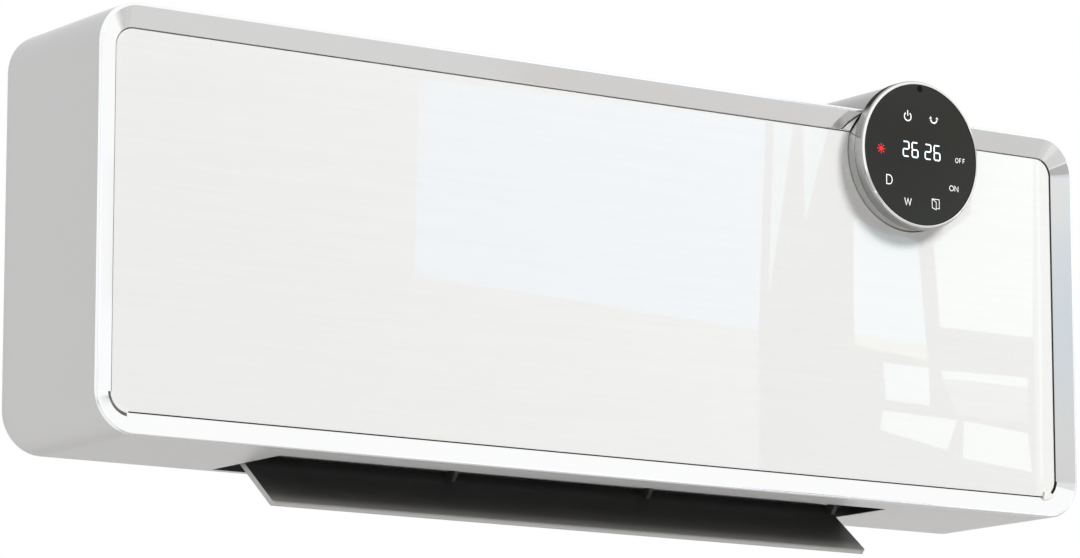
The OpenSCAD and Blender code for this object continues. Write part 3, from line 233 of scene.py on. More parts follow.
def finish_of(name, group, values, bump, plain, edge=0.0, coats=()):
    """Material of one shared group: values feed the group, plain the shader's own sockets.
    A coat is [zones, colour, roughness, metallic or None], laid where all its zones meet"""
    material = bpy.data.materials.new(name)
    material.use_nodes = True
    board = Board(material.node_tree)
    shader = material.node_tree.nodes["Principled BSDF"]
    made = group_node(board, group, values)
    colour, rough, metallic = made["Colour"], made["Roughness"], plain.get("Metallic", 0.0)
    for zones, coat_colour, coat_rough, coat_metallic in coats:
        mask = 1.0
        for zone, limits in zones:
            mask = board.math("MULTIPLY", group_node(board, zone, limits)["Mask"], mask)
        colour = board.mix(mask, colour, rgb(*coat_colour))
        rough = board.ramp(mask, 0, 1, rough, coat_rough)
        if coat_metallic is not None:
            metallic = board.ramp(mask, 0, 1, metallic, coat_metallic)
    board.feed(colour, shader.inputs["Base Color"])
    board.feed(rough, shader.inputs["Roughness"])
    relief = {"Height": made["Height"], "Strength": 1.0, "Distance": bump}
    if edge:
        relief["Normal"] = board.add("ShaderNodeBevel", {"Radius": edge}, samples=4).outputs[0]
    if bump:
        board.feed(board.add("ShaderNodeBump", relief).outputs[0], shader.inputs["Normal"])
    elif edge:
        board.feed(relief["Normal"], shader.inputs["Normal"])
    for key, value in {**plain, "Metallic": metallic}.items():
        board.feed(value, shader.inputs[key])
    return material


def plastic(name, colour, roughness=0.4, grain=0.00001, drift=0.03, scale=1400.0, edge=0.0005,
            coats=(), **plain):
    return finish_of(name, SKIN, {"Colour": rgb(*colour), "Roughness": roughness, "Drift": drift,
                                  "Grain scale": scale}, grain, plain, edge, coats)


def metal(name, colour, roughness=0.25, contrast=0.12, stretch=(0.02, 1, 1), lines=500.0, bump=0.000004,
          edge=0.0003, coats=(), **plain):
    return finish_of(name, STROKES, {"Colour": rgb(*colour), "Roughness": roughness,
                                     "Contrast": contrast, "Line scale": lines, "Stretch": stretch},
                     bump, {"Metallic": 1.0, **plain}, edge, coats)


# ------------------------------------------------------------------ finishes

# Dark colours for painted shade and a painted dark reflection: in the frame's gap, on the ring's crest, at
# the foot of the glass and on the outlet's lip
BLACK, OUTLET_SHADE, GAP = (0.006, 0.006, 0.006), (0.012, 0.012, 0.012), (0.05, 0.05, 0.05)
SATIN = {"contrast": 0.08, "stretch": (1, 0.02, 1), "lines": 300.0, "bump": 0.0, "edge": 0.0}

# Frame: how far the gap's painted shadow reaches from the glass to the front, the side and above its foot
GAP_FRONT, WELL_IN, WELL_FADE, SILL_IN, SILL_UP = 0.0006, 0.012, (-0.011, -0.002), 0.009, 0.0035
# Ring: edges of the bevel and of the side behind the touch glass, and of the crest round the axis, where a
# dark reflection is painted
BEVEL_EDGE, SIDE_EDGE = (-0.00045, -0.0003), (0.0008, 0.0016)
SHADED_CREST, SHADED_CREST_EDGE = Vector((-0.574, 0, 0.819)), (0.0348, 0.0376)
# Barrel: edges of the collar and of the sunk part at the front glass, and of the lower half, which
# together bound the painted light
COLLAR_EDGE, SUNK_EDGE, LIT_LOWER_EDGE = (-0.0020, -0.0015), (-0.0002, 0.0), (-0.018, -0.008)
# Front glass: how far the painted shade on the foot of its edge lies behind its face and above its foot
FOOT_BACK, FOOT_UP = 0.0001, 0.0002
# Outlet: how far the painted shade on the lip reaches past the mouth, and its lowest and highest points
LIP_OVER, LIP_LOW, LIP_HIGH = 0.0003, 0.0002, 0.0045
# Flap: edges of the inner face, where shade is painted, and of the painted light on the middle part and
# the tip, from the hinge
INNER_EDGE, MID_LIGHT_EDGE, LIT_TIP_EDGE = (-0.0002, -0.00005), (0.0200, 0.0380), (0.0295, 0.0393)


def chrome_finish():
    """Polished frame, with shadow paint in the gap right of the glass and below it"""
    front = glass_low.y - GAP_FRONT
    well = inside((glass_high.x - WELL_IN, front, -1), (1, 0, 1))
    fade = along((1, 0, 0), glass_high.x, WELL_FADE)
    sill = inside((glass_low.x + SILL_IN, front, -1), (1, 0, glass_low.z + SILL_UP))
    return finish_of("polished frame", STROKES,
                     {"Colour": rgb(0.965, 0.967, 0.97), "Roughness": 0.075, "Contrast": 0.012,
                      "Gloss drift": 0.012, "Line scale": 40.0, "Stretch": (1, 1, 1)},
                     0.0, {"Metallic": 1.0}, 0.0, [([well, fade], GAP, 0.5, 0.0), ([sill], GAP, 0.5, 0.0)])


def ring_finish():
    """Satin side with a painted dark reflection on its crest above the frame, and a polished bevel round
    the touch glass
    """
    bevel = along((0, -1, 0), -disc_low.y, BEVEL_EDGE)
    side = along((0, 1, 0), disc_low.y, SIDE_EDGE)
    shaded_crest = along(tuple(SHADED_CREST), SHADED_CREST.dot(POD), SHADED_CREST_EDGE)
    # The black coat on the side and crest is a painted dark reflection
    return metal("satin ring", (0.44, 0.44, 0.435), 0.16, **SATIN, coats=[
        ([bevel], (0.96, 0.96, 0.955), 0.06, None), ([side, shaded_crest], BLACK, 0.95, 0.0)])


def barrel_finish():
    """Satin side with painted light on its lower part from the glass forwards, and lighter matt paint,
    also painted light, where it sinks into the glass's shaded gap
    """
    collar = along((0, -1, 0), -glass_low.y, COLLAR_EDGE)
    lit_lower = along((0, 0, -1), -POD.z, LIT_LOWER_EDGE)
    sunk = along((0, 1, 0), glass_low.y, SUNK_EDGE)
    # Both coats on the lower front are painted light
    return metal("barrel satin", (0.30, 0.30, 0.295), 0.2, **SATIN, coats=[
        ([collar, lit_lower], (0.72, 0.72, 0.71), 0.2, None),
        ([collar, lit_lower, sunk], (0.80, 0.80, 0.79), 0.7, 0.0)])


def front_glass_finish():
    """White lacquer behind clear glass, with faint level lines in the lacquer and painted shade on the
    foot of its edge
    """
    # Painted shade: the foot of the glass's edge is black
    edge = inside((-1, glass_low.y + FOOT_BACK, -1), (1, 0, glass_low.z + FOOT_UP))
    return finish_of("white backed glass", STROKES,
                     {"Colour": rgb(0.845, 0.845, 0.832), "Roughness": 0.55, "Contrast": 0.022,
                      "Gloss drift": 0.0, "Line scale": 420.0, "Stretch": (0.03, 1, 1)},
                     0.0, {"Coat Weight": 1.0, "Coat Roughness": 0.008, "Coat IOR": 1.5,
                           "Specular IOR Level": 0.0}, 0.0, [([edge], BLACK, 0.5, None)])


def housing_finish():
    """Moulded white, with painted shade on the lip round the outlet's mouth"""
    # Painted shade: the lip round the outlet's mouth is dark
    shaded_lip = inside((-MOUTH_X - LIP_OVER, MOUTH_FRONT - LIP_OVER, housing_low.z + LIP_LOW),
                 (MOUTH_X + LIP_OVER, MOUTH_BACK + LIP_OVER, housing_low.z + LIP_HIGH))
    return plastic("housing white", (0.86, 0.865, 0.86), 0.36, scale=1600.0, drift=0.02,
                   coats=[([shaded_lip], OUTLET_SHADE, 0.5, None)])


def flap_finish():
    """Satin white; painted shade darkens the inner face, and painted light lightens it towards the free
    edge
    """
    joint = next(j for j in frame["record"]["behaviour"]["joints"] if j["name"] == "flap_swing")
    hinge, tilt = Vector(joint["pos_m"]), radians(FLAP_TILT)
    face, chord = Vector((0, -sin(tilt), cos(tilt))), Vector((0, -cos(tilt), -sin(tilt)))
    inner = along(tuple(face), face.dot(hinge) + FLAP_FACE, INNER_EDGE)
    mid_light = along(tuple(chord), chord.dot(hinge), MID_LIGHT_EDGE)
    lit_tip = along(tuple(chord), chord.dot(hinge), LIT_TIP_EDGE)
    # Painted shade on the inner face, and painted light on it towards the free edge
    return plastic("flap satin", (0.70, 0.70, 0.69), 0.38, coats=[
        ([inner], (0.11, 0.11, 0.107), 0.42, None), ([inner, mid_light], (0.19, 0.185, 0.175), 0.38, None),
        ([inner, lit_tip], (0.50, 0.49, 0.465), 0.38, None)])


def make_finishes():
    made = {
        "housing_white": housing_finish(),
        "frame_chrome": chrome_finish(),
        "clip_white": plastic("clip white", (0.86, 0.86, 0.82), 0.3),
        "glass_white": front_glass_finish(),
        "carrier_grey": plastic("carrier grey", (0.66, 0.66, 0.65), 0.5),
        "barrel_grey": barrel_finish(),
        "gasket_black": plastic("gasket grey", (0.24, 0.24, 0.235), 0.6),
        "ring_chrome": ring_finish(),
        "touch_black": plastic("touch glass black", (0.030, 0.029, 0.026), 0.1, grain=0.0, drift=0.05,
                               scale=40.0, edge=0.0, **{"Specular IOR Level": 0.16}),
        "window_black": plastic("tinted window", (0.003, 0.003, 0.004), 0.15, grain=0.0, edge=0.0,
                                **{"Specular IOR Level": 0.1}),
        "board_green": plastic("solder mask", (0.02, 0.12, 0.05), 0.35),
        "display_dark": plastic("display dark", (0.03, 0.03, 0.032), 0.45),
        "contact_brass": metal("brass contacts", (0.82, 0.6, 0.26), 0.28),
        "ribbon_grey": plastic("ribbon grey", (0.33, 0.33, 0.34), 0.45),
        "grille_white": plastic("grille white", (0.84, 0.845, 0.84), 0.38, scale=1600.0),
        "filter_mesh": plastic("filter frame grey", (0.10, 0.105, 0.11), 0.5),
        "duct_grey": plastic("duct grey", (0.016, 0.016, 0.017), 0.5),
        "fan_aluminium": metal("fan aluminium", (0.75, 0.76, 0.78), 0.3),
        "steel_bright": metal("drawn steel", (0.62, 0.63, 0.65), 0.28),
        "motor_black": metal("motor black", (0.05, 0.05, 0.052), 0.35),
        "swing_motor_zinc": metal("zinc plate", (0.6, 0.62, 0.66), 0.32),
        "cap_black": plastic("heat proof black", (0.02, 0.02, 0.02), 0.55),
        "cutout_brown": plastic("phenolic brown", (0.11, 0.035, 0.012), 0.3),
        "fuse_white": plastic("ceramic white", (0.8, 0.79, 0.74), 0.2),
        "guard_dark": plastic("guard lacquer", (0.012, 0.012, 0.013), 0.42),
        "flap_grey": flap_finish(),
        "bush_black": plastic("bush black", (0.02, 0.02, 0.02), 0.4),
        "link_white": plastic("link white", (0.78, 0.78, 0.76), 0.35),
        "relay_blue": plastic("relay blue", (0.02, 0.08, 0.35), 0.35),
        "supply_yellow": plastic("taped yellow", (0.6, 0.42, 0.04), 0.35),
        "filter_red": plastic("dipped red", (0.4, 0.05, 0.02), 0.25),
        "terminal_ivory": plastic("terminal ivory", (0.72, 0.68, 0.52), 0.4),
        "lead_red": plastic("lead red", (0.4, 0.015, 0.012), 0.35),
        "lead_brown": plastic("lead brown", (0.09, 0.035, 0.015), 0.35),
        "switch_black": plastic("switch black", (0.012, 0.012, 0.012), 0.3),
        "gland_black": plastic("gland black", (0.025, 0.025, 0.026), 0.45),
    }
    for part in frame["record"]["subparts"]:
        for holder in nodes[part["node"]].material_slots:
            holder.material = made[part["material_slot"]]
    return made


# ------------------------------------------------------------------ stage

# The floor fades out between two distances from its middle
FLOOR_Z, FLOOR_HALF, FLOOR_FADE = -0.6, 3.5, (1.7, 3.4)
WORLD_DIFFUSE, WORLD_SHOWN = 0.47, 1.0


def floor_finish():
    """Pale floor, fading out towards its edge and clear from below"""
    material = plastic("pale floor", (0.60, 0.59, 0.58), 0.7, grain=0.0, drift=0.01, scale=60.0, edge=0.0)
    board = Board(material.node_tree)
    where = board.add("ShaderNodeTexCoord").outputs["Object"]
    spread = board.add("ShaderNodeVectorMath", {0: where}, operation="LENGTH").outputs["Value"]
    fade = board.ramp(spread, *FLOOR_FADE, 1.0, 0.0, smooth=True)
    above = board.math("SUBTRACT", 1.0, board.add("ShaderNodeNewGeometry").outputs["Backfacing"])
    shader = material.node_tree.nodes["Principled BSDF"]
    board.feed(board.math("MULTIPLY", fade, above), shader.inputs["Alpha"])
    return material


def make_floor():
    data = bpy.data.meshes.new("floor")
    half = FLOOR_HALF
    data.from_pydata([(-half, -half, FLOOR_Z), (half, -half, FLOOR_Z), (half, half, FLOOR_Z),
                      (-half, half, FLOOR_Z)], [], [(0, 1, 2, 3)])
    floor = bpy.data.objects.new("floor", data)
    scene.collection.objects.link(floor)
    data.materials.append(floor_finish())


def make_world():
    """Even white light, whiter to the camera and to polished and clear surfaces"""
    world = bpy.data.worlds.new("studio")
    scene.world = world
    world.use_nodes = True
    board = Board(world.node_tree)
    path = board.add("ShaderNodeLightPath").outputs
    seen = board.math("MAXIMUM", path["Is Camera Ray"],
                      board.math("MAXIMUM", path["Is Glossy Ray"], path["Is Transmission Ray"]))
    back = world.node_tree.nodes["Background"]
    board.feed(board.ramp(seen, 0, 1, WORLD_DIFFUSE, WORLD_SHOWN), back.inputs["Strength"])
    back.inputs["Color"].default_value = rgb(1, 1, 1)


def make_lamp(name, place, target, size, power):
    data = bpy.data.lights.new(name, "AREA")
    data.shape = "RECTANGLE"
    data.size, data.size_y = size
    data.energy = power
    lamp = bpy.data.objects.new(name, data)
    scene.collection.objects.link(lamp)
    lamp.location = place
    lamp.rotation_euler = (Vector(target) - Vector(place)).to_track_quat("-Z", "Y").to_euler()
    lamp.visible_glossy = lamp.visible_camera = False


# Lamps as [place, target, size, power]
LAMPS = {
    "soft key": ((1.9, -3.65, 2.7), (0, 0, 0), (1.5, 1.2), 168),
    "side fill": ((-2.5, 0.7, 0.4), (-0.3, 0, 0), (1.2, 1.2), 5.5),
}
# Cards on the wall as [corners in x and z, light, distance behind the windows], and on the floor as
# [corners in x and y, light], each a step above the one before
WINDOW_Y, CARD_LIFT, CARD_STEP = -3.2, 0.004, 0.001
SKY, DAYLIGHT = (1.15, 1.7, 2.5), (2.1, 2.55, 2.4)
WALL_CARDS = {
    "dim_wall": ([(2.50, 0.95), (2.50, 0.40), (2.985, 0.40), (2.985, 0.95)], (0.08, 0.08, 0.09), 0.02),
    "tall_window": ([(1.942, 0.891), (1.935, 0.635), (2.485, 0.614), (2.5, 0.9)], SKY, 0),
    "thin_light": ([(2.514, 0.901), (2.547, 0.901), (2.528, 0.79), (2.502, 0.658)], (1.0, 1.7, 1.9), 0),
    "thin_light_2": ([(2.564, 0.904), (2.608, 0.905), (2.565, 0.768)], (1.0, 1.7, 1.9), 0),
    "right_window": ([(2.649, 0.785), (2.762, 0.762), (2.774, 0.62), (2.648, 0.622)],
                     (1.45, 2.25, 2.6), 0),
    "window_seat": ([(2.648, 0.622), (2.774, 0.62), (2.776, 0.598), (2.649, 0.609)], (1.5, 1.5, 1.2), 0),
    "sill_light": ([(2.698, 0.589), (2.778, 0.588), (2.779, 0.536), (2.702, 0.538)], (2, 2.4, 2.6), 0),
    "far_window": ([(2.873, 0.907), (2.973, 0.907), (2.966, 0.647), (2.799, 0.647), (2.790, 0.762),
                    (2.855, 0.81)], DAYLIGHT, 0),
    "far_sill": ([(2.801, 0.587), (2.956, 0.59), (2.955, 0.576), (2.801, 0.576)], DAYLIGHT, 0),
    "pale_sill": ([(2.801, 0.576), (2.955, 0.576), (2.955, 0.527), (2.828, 0.527)], (0.7, 0.74, 0.75), 0),
    "blind": ([(2.979, 0.93), (2.984, 0.93), (2.980, 0.45), (2.974, 0.45)], DAYLIGHT, 0),
    "low_light": ([(2.696, 0.523), (2.827, 0.52), (2.808, 0.477), (2.691, 0.496)], DAYLIGHT, 0),
    "low_light_2": ([(2.839, 0.52), (2.954, 0.512), (2.96, 0.458), (2.836, 0.468)], DAYLIGHT, 0),
    "grey_wall": ([(-1.2, -0.6), (-0.3, -0.6), (-0.3, 1.3), (-1.2, 1.3)], (0.69, 0.69, 0.68), 0.02),
    "light_wall": ([(-1.2, 0.61), (-0.3, 0.59), (-0.3, 1.3), (-1.2, 1.3)], (0.78, 0.78, 0.77), 0),
    "blue_wall": ([(-1.2, 0.475), (-0.3, 0.475), (-0.3, 0.59), (-1.2, 0.61)], (0.632, 0.689, 0.742), 0),
    "dark_wall": ([(-1.2, -0.6), (-0.3, -0.6), (-0.3, 0.36), (-1.2, 0.36)], (0.46, 0.46, 0.45), 0),
}
FLOOR_CARDS = {
    "grey_mat": ([(0.0, -1.15), (0.58, -1.15), (0.66, -0.5), (0.0, -0.5)], (0.68, 0.675, 0.67)),
    "grey_mat_2": ([(1.0, -1.0), (1.5, -1.0), (1.5, -0.5), (0.97, -0.5)], (0.62, 0.615, 0.60)),
    "grey_mat_3": ([(-0.6, -2.9), (1.3, -2.9), (1.3, -0.92), (0.6, -0.92), (0.1, -1.15)],
                   (0.67, 0.665, 0.66)),
    "light_mat": ([(0.40, -1.35), (0.70, -1.35), (0.75, -1.0), (0.54, -1.0)], (0.78, 0.78, 0.77)),
    "white_mat": ([(-1.3, -1.0), (-0.25, -1.0), (-0.25, -0.1), (-1.3, -0.1)], (0.98, 0.98, 0.98)),
    "back_mat": ([(-2.6, 0.05), (0.0, 0.05), (-0.4, 3.4), (-2.6, 3.4)], (0.98, 0.98, 0.98)),
}


def make_card(name, points, colour):
    """A flat light or dark panel of the studio, seen only in polished surfaces"""
    mesh = bpy.data.meshes.new(name)
    mesh.from_pydata(points, [], [tuple(range(len(points)))])
    material = bpy.data.materials.new(name)
    material.use_nodes = True
    board = Board(material.node_tree)
    glow = board.add("ShaderNodeEmission", {"Strength": max(colour)})
    glow.inputs["Color"].default_value = rgb(*(part / max(colour) for part in colour))
    board.feed(glow.outputs[0], material.node_tree.nodes["Material Output"].inputs["Surface"])
    mesh.materials.append(material)
    card = bpy.data.objects.new(name, mesh)
    scene.collection.objects.link(card)
    card.visible_camera = card.visible_diffuse = card.visible_shadow = False
    card.visible_transmission = card.visible_volume_scatter = False


def make_stage():
    make_floor()
    make_world()
    for name, (corners, colour, back) in WALL_CARDS.items():
        make_card(name, [(x, WINDOW_Y - back, z) for x, z in corners], colour)
    for i, (name, (corners, colour)) in enumerate(FLOOR_CARDS.items()):
        make_card(name, [(x, y, FLOOR_Z + CARD_LIFT + CARD_STEP * i) for x, y in corners], colour)
    for name, facts in LAMPS.items():
        make_lamp(name, *facts)


# ------------------------------------------------------------------ mesh helpers

def piece(name, mesh, material, body="housing", replaces=()):
    """Puts a finished mesh in the scene, attaches it to the body it rides on and hides the parts it
    replaces
    """
    made = bpy.data.objects.new(name, mesh)
    scene.collection.objects.link(made)
    mesh.materials.clear()
    mesh.materials.append(material)
    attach(made, body)
    if replaces:
        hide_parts(*replaces)


def mesh_of(name, bm, smooth_angle=None):
    bmesh.ops.recalc_face_normals(bm, faces=bm.faces)
    mesh = bpy.data.meshes.new(name)
    bm.to_mesh(mesh)
    bm.free()
    shade(mesh, smooth_angle)
    return mesh


def shade(mesh, smooth_angle):
    if smooth_angle is not None:
        mesh.polygons.foreach_set("use_smooth", [True] * len(mesh.polygons))
        mesh.set_sharp_from_angle(angle=radians(smooth_angle))


def add_prism(bm, outline, place):
    """Closes a flat outline into a solid: place(point, 0 or 1) gives its corners at both ends"""
    low = [bm.verts.new(place(p, 0)) for p in outline]
    high = [bm.verts.new(place(p, 1)) for p in outline]
    bm.faces.new(low)
    bm.faces.new(list(reversed(high)))
    for i, near in enumerate(low):
        after = (i + 1) % len(low)
        bm.faces.new((near, high[i], high[after], low[after]))


def baked(name, mesh, tree, inputs, smooth_angle=None):
    """Runs a geometry tree on a mesh with the inputs given by name, and returns the plain result"""
    holder = bpy.data.objects.new(name, mesh)
    scene.collection.objects.link(holder)
    modifier = holder.modifiers.new("shape", "NODES")
    modifier.node_group = tree
    sockets = {item.name: item.identifier for item in tree.interface.items_tree
               if item.item_type == "SOCKET" and item.in_out == "INPUT"}
    for label, value in inputs.items():
        modifier[sockets[label]] = value
    bpy.context.view_layer.update()
    result = bpy.data.meshes.new_from_object(
        holder.evaluated_get(bpy.context.evaluated_depsgraph_get()))
    holder.modifiers.remove(modifier)
    bpy.data.objects.remove(holder)
    result.name = name
    shade(result, smooth_angle)
    return result


class Shape(Board):
    """A geometry tree under construction: named sizes in, one mesh out"""

    def __init__(self, name, sizes):
        tree = bpy.data.node_groups.new(name, "GeometryNodeTree")
        tree.interface.new_socket("Geometry", in_out="INPUT", socket_type="NodeSocketGeometry")
        for label, kind, value in sizes:
            socket = tree.interface.new_socket(label, in_out="INPUT", socket_type="NodeSocket" + kind)
            if value is not None:
                socket.default_value = value
        tree.interface.new_socket("Geometry", in_out="OUTPUT", socket_type="NodeSocketGeometry")
        super().__init__(tree)
        self.given = self.add("NodeGroupInput").outputs

    def xyz(self, x=0.0, y=0.0, z=0.0):
        return self.add("ShaderNodeCombineXYZ", {0: x, 1: y, 2: z}).outputs[0]

    def close(self, geometry):
        """Ends the tree as the export needs it: real meshes with their material set"""
        real = self.add("GeometryNodeRealizeInstances", {0: geometry}).outputs[0]
        dressed = self.add("GeometryNodeSetMaterial", {"Geometry": real,
                                                       "Material": self.given["Material"]}).outputs[0]
        self.add("NodeGroupOutput", {0: dressed})
        return self.tree


# ------------------------------------------------------------------ front frame

# Outline in metres; the section in millimetres, inwards from the side and back from the rim
FRAME_W, FRAME_H, FRAME_R, RIM_Y, CORNER_STEPS = 0.600, 0.206, 0.021, -0.090, 20
BEAD_R, LAND, LIP_D, BEVEL_IN, BEVEL_D, WELL_D = 1.0, 0.6, 1.3, 11.25, 5.45, 9.8
# The bevel's flat starts this far past the land and ends this far before its inner edge, which is rounded
FLAT_START, FLAT_END, ROUND_IN, ROUND_OUT = (0.15, 0.06), (0.25, 0.27), (0.06, 0.12), 0.1
FRAME_BACK = [(8.7, WELL_D), (8.7, 6.6), (5.5, 3.9), (5.5, 14), (3.3, 14), (3.3, 3.4), (1.4, 3.4),
              (1.4, LIP_D)]
# Round opening of the display: its gap, its sides, and its front and depth
HOLE_GAP, HOLE_SIDES, HOLE_FRONT, HOLE_DEPTH = 0.0020, 96, -0.12, 0.1
# Slots at the left (-1) and right (1) lower corners: inner and outer radius in millimetres, first and
# last turn in degrees. A clip's edge also has the depth of its front, and both end at CLIP_BACK
SLOTS = {-1: (10.3, 12.1, -82, -4), 1: (9.0, 10.4, -50, -4)}
SLOT_FRONT, SLOT_DEPTH, BAND_STEPS = -0.1, 0.022, 24
CLIP_EDGES = {-1: (9.0, 10.3, -86, -4, 5.0), 1: (8.7, 11.3, -88, -52, 4.2)}
CLIP_BACK = 5.75


def frame_section():
    """The frame's section as [inset, depth] in millimetres, from the side round to the side"""
    bead = [(BEAD_R - BEAD_R * cos(radians(a)), BEAD_R - BEAD_R * sin(radians(a)))
            for a in range(0, 91, 9)]
    nose = BEAD_R + LAND
    start, end = (nose + FLAT_START[0], FLAT_START[1]), (BEVEL_IN - FLAT_END[0], BEVEL_D - FLAT_END[1])
    flat = [tuple(a + (b - a) * share for a, b in zip(start, end)) for share in (0, 0.03, 0.97, 1)]
    return [(0, LIP_D), *bead, (nose, 0), *flat, (BEVEL_IN - ROUND_IN[0], BEVEL_D - ROUND_IN[1]),
            (BEVEL_IN, BEVEL_D + ROUND_OUT), (BEVEL_IN, WELL_D), *FRAME_BACK]


def arc_band(inner, outer, start, end):
    """Outline in metres of a band round a corner, from radii in millimetres and turns in degrees"""
    turns = [radians(start + (end - start) * i / BAND_STEPS) for i in range(BAND_STEPS + 1)]
    band = [(inner * MM * cos(a), inner * MM * sin(a)) for a in turns]
    return band + [(outer * MM * cos(a), outer * MM * sin(a)) for a in reversed(turns)]


def corner_place(side, front, depth):
    """Puts a flat point round the lower corner of one side, front to back"""
    x, z = side * (FRAME_W / 2 - FRAME_R), -FRAME_H / 2 + FRAME_R
    return lambda p, end: (x + side * p[0], front + depth * end, z + p[1])


def frame_cutters():
    """What the frame makes room for: the round display and the slots at the lower corners"""
    bm = bmesh.new()
    turns = [2 * pi * i / HOLE_SIDES for i in range(HOLE_SIDES)]
    hole_r = DISC_R + HOLE_GAP
    add_prism(bm, [(cos(a), sin(a)) for a in turns],
              lambda p, end: (POD.x + hole_r * p[0], HOLE_FRONT + HOLE_DEPTH * end, POD.z + hole_r * p[1]))
    for side, band in SLOTS.items():
        add_prism(bm, arc_band(*band), corner_place(side, SLOT_FRONT, SLOT_DEPTH))
    return mesh_of("cutters", bm)


def frame_tree():
    """Sweeps the section round a rectangle with filleted corners and cuts the openings"""
    shape = Shape("frame sweep", [("Width", "Float", 0.6), ("Height", "Float", 0.2),
                                  ("Corner", "Float", 0.02), ("Rim", "Float", 0.0),
                                  ("Cutters", "Object", None), ("Material", "Material", None)])
    given = shape.given
    path = shape.add("GeometryNodeCurvePrimitiveQuadrilateral",
                     {"Width": given["Width"], "Height": given["Height"]}).outputs[0]
    path = shape.add("GeometryNodeFilletCurve", {"Curve": path, "Radius": given["Corner"],
                                                 "Count": CORNER_STEPS}, mode="POLY").outputs[0]
    section = shape.add("GeometryNodeMeshToCurve", {"Mesh": given["Geometry"]}).outputs[0]
    swept = shape.add("GeometryNodeCurveToMesh", {"Curve": path, "Profile Curve": section}).outputs[0]
    stood = shape.add("GeometryNodeTransform", {"Geometry": swept, "Rotation": (pi / 2, 0, 0),
                                                "Translation": shape.xyz(y=given["Rim"])}).outputs[0]
    cut = shape.add("GeometryNodeObjectInfo", {"Object": given["Cutters"]}).outputs["Geometry"]
    opened = shape.add("GeometryNodeMeshBoolean", {"Mesh 1": stood, "Mesh 2": cut},
                       operation="DIFFERENCE", solver="EXACT").outputs[0]
    return shape.close(opened)


def make_front_frame(material):
    cutters = bpy.data.objects.new("cutters", frame_cutters())
    scene.collection.objects.link(cutters)
    section = bpy.data.meshes.new("section")
    points = [(-inset * MM, depth * MM, 0) for inset, depth in frame_section()]
    section.from_pydata(points, [(i, (i + 1) % len(points)) for i in range(len(points))], [])
    mesh = baked("front_frame_swept", section, frame_tree(),
                 {"Width": FRAME_W, "Height": FRAME_H, "Corner": FRAME_R, "Rim": RIM_Y,
                  "Cutters": cutters, "Material": material}, 30)
    bpy.data.objects.remove(cutters)
    piece("front_frame_swept", mesh, material, replaces=["front_frame"])


def make_clip_edges(material):
    """The edges of the moulded clips, which show between the glass and the slots"""
    for side, (inner, outer, start, end, front) in CLIP_EDGES.items():
        bm = bmesh.new()
        add_prism(bm, arc_band(inner, outer, start, end),
                  corner_place(side, RIM_Y + front * MM, (CLIP_BACK - front) * MM))
        name = "clip_edge_left" if side < 0 else "clip_edge_right"
        piece(name, mesh_of(name, bm, 30), material)


# ------------------------------------------------------------------ marks of the display

# The print in metres, above and below the face of the glass; all else in millimetres
MARK_SKIN, MARK_SUNK = 0.00006, 0.00002
DIGIT_H, DIGIT_W, BAR_W, BAR_GAP = 8.5, 4.6, 0.74, 0.12
SEGMENTS = {"2": "abged", "6": "afgedc"}
DIGITS = [("2", (-9.9, 2.15)), ("6", (-3.9, 2.15)), ("2", (4.9, 2.15)), ("6", (11.0, 2.15))]
POWER_AT, SWING_AT, HEAT_AT, WINDOW_AT = (-8.5, 19.6), (9.1, 19.6), (-26.6, 0.5), (9.6, -25.2)
POWER_PEN, SWING_PEN, WINDOW_PEN = 0.62, 0.74, 0.34
# Words as [letters, place of the middle, height, width, pen]
WORDS = {
    "mark_d": ("D", (-21.4, -15.4), 5.3, 4.2, 0.5),
    "mark_w": ("W", (-9.1, -25.8), 4.1, 4.9, 0.45),
    "mark_off": ("OFF", (26.8, -0.3), 2.7, 6.6, 0.3),
    "mark_on": ("ON", (22.2, -15.6), 3.1, 5.9, 0.36),
}
LETTER_SHARE, LETTER_SPACE = 0.78, 0.22
SHARPEST_MITRE = 0.45
# Rays of the heat mark: where their middles lie and how long they are, as shares of core and reach
RAY_MIDDLE, RAY_LENGTH = 0.56, 0.78


def mark_place(at):
    """Puts a flat point in millimetres on the touch glass, at the bottom or top of the print"""
    def place(point, end):
        return (POD.x + (at[0] + point[0]) * MM, POD.y + MARK_SUNK - (MARK_SKIN + MARK_SUNK) * end,
                POD.z + (at[1] + point[1]) * MM)
    return place


def bow(radius, start, end, squeeze=1.0, steps=20, centre=(0, 0)):
    """Points along an arc or an ellipse"""
    turns = [radians(start + (end - start) * i / steps) for i in range(steps + 1)]
    return [(centre[0] + radius * cos(a), centre[1] + radius * squeeze * sin(a)) for a in turns]


def add_stroke(bm, points, pen, place, closed=False):
    """Closed solid that a pen of this width leaves along a line of points, with mitred corners"""
    points = [Vector(p) for p in points]
    last = len(points) - 1
    rails = []
    for i, point in enumerate(points):
        before = points[i - 1] if i or closed else None
        after = points[(i + 1) % len(points)] if i < last or closed else None
        come = (point - before).normalized() if before else (after - point).normalized()
        go = (after - point).normalized() if after else come
        side = Vector((-come.y - go.y, come.x + go.x)).normalized()
        reach = pen / 2 / max(SHARPEST_MITRE, side.dot(Vector((-come.y, come.x))))
        rails.append([[bm.verts.new(place(point + side * reach * way, end)) for end in (0, 1)]
                      for way in (-1, 1)])
    for (near, far) in zip(rails, rails[1:] + (rails[:1] if closed else [])):
        (a0, a1), (b0, b1), (c0, c1), (d0, d1) = *near, *far
        for corners in ((a0, c0, d0, b0), (a1, b1, d1, c1), (a0, a1, c1, c0), (b0, d0, d1, b1)):
            bm.faces.new(corners)
    for (a0, a1), (b0, b1) in [] if closed else (rails[0], rails[-1]):
        bm.faces.new((a0, b0, b1, a1))


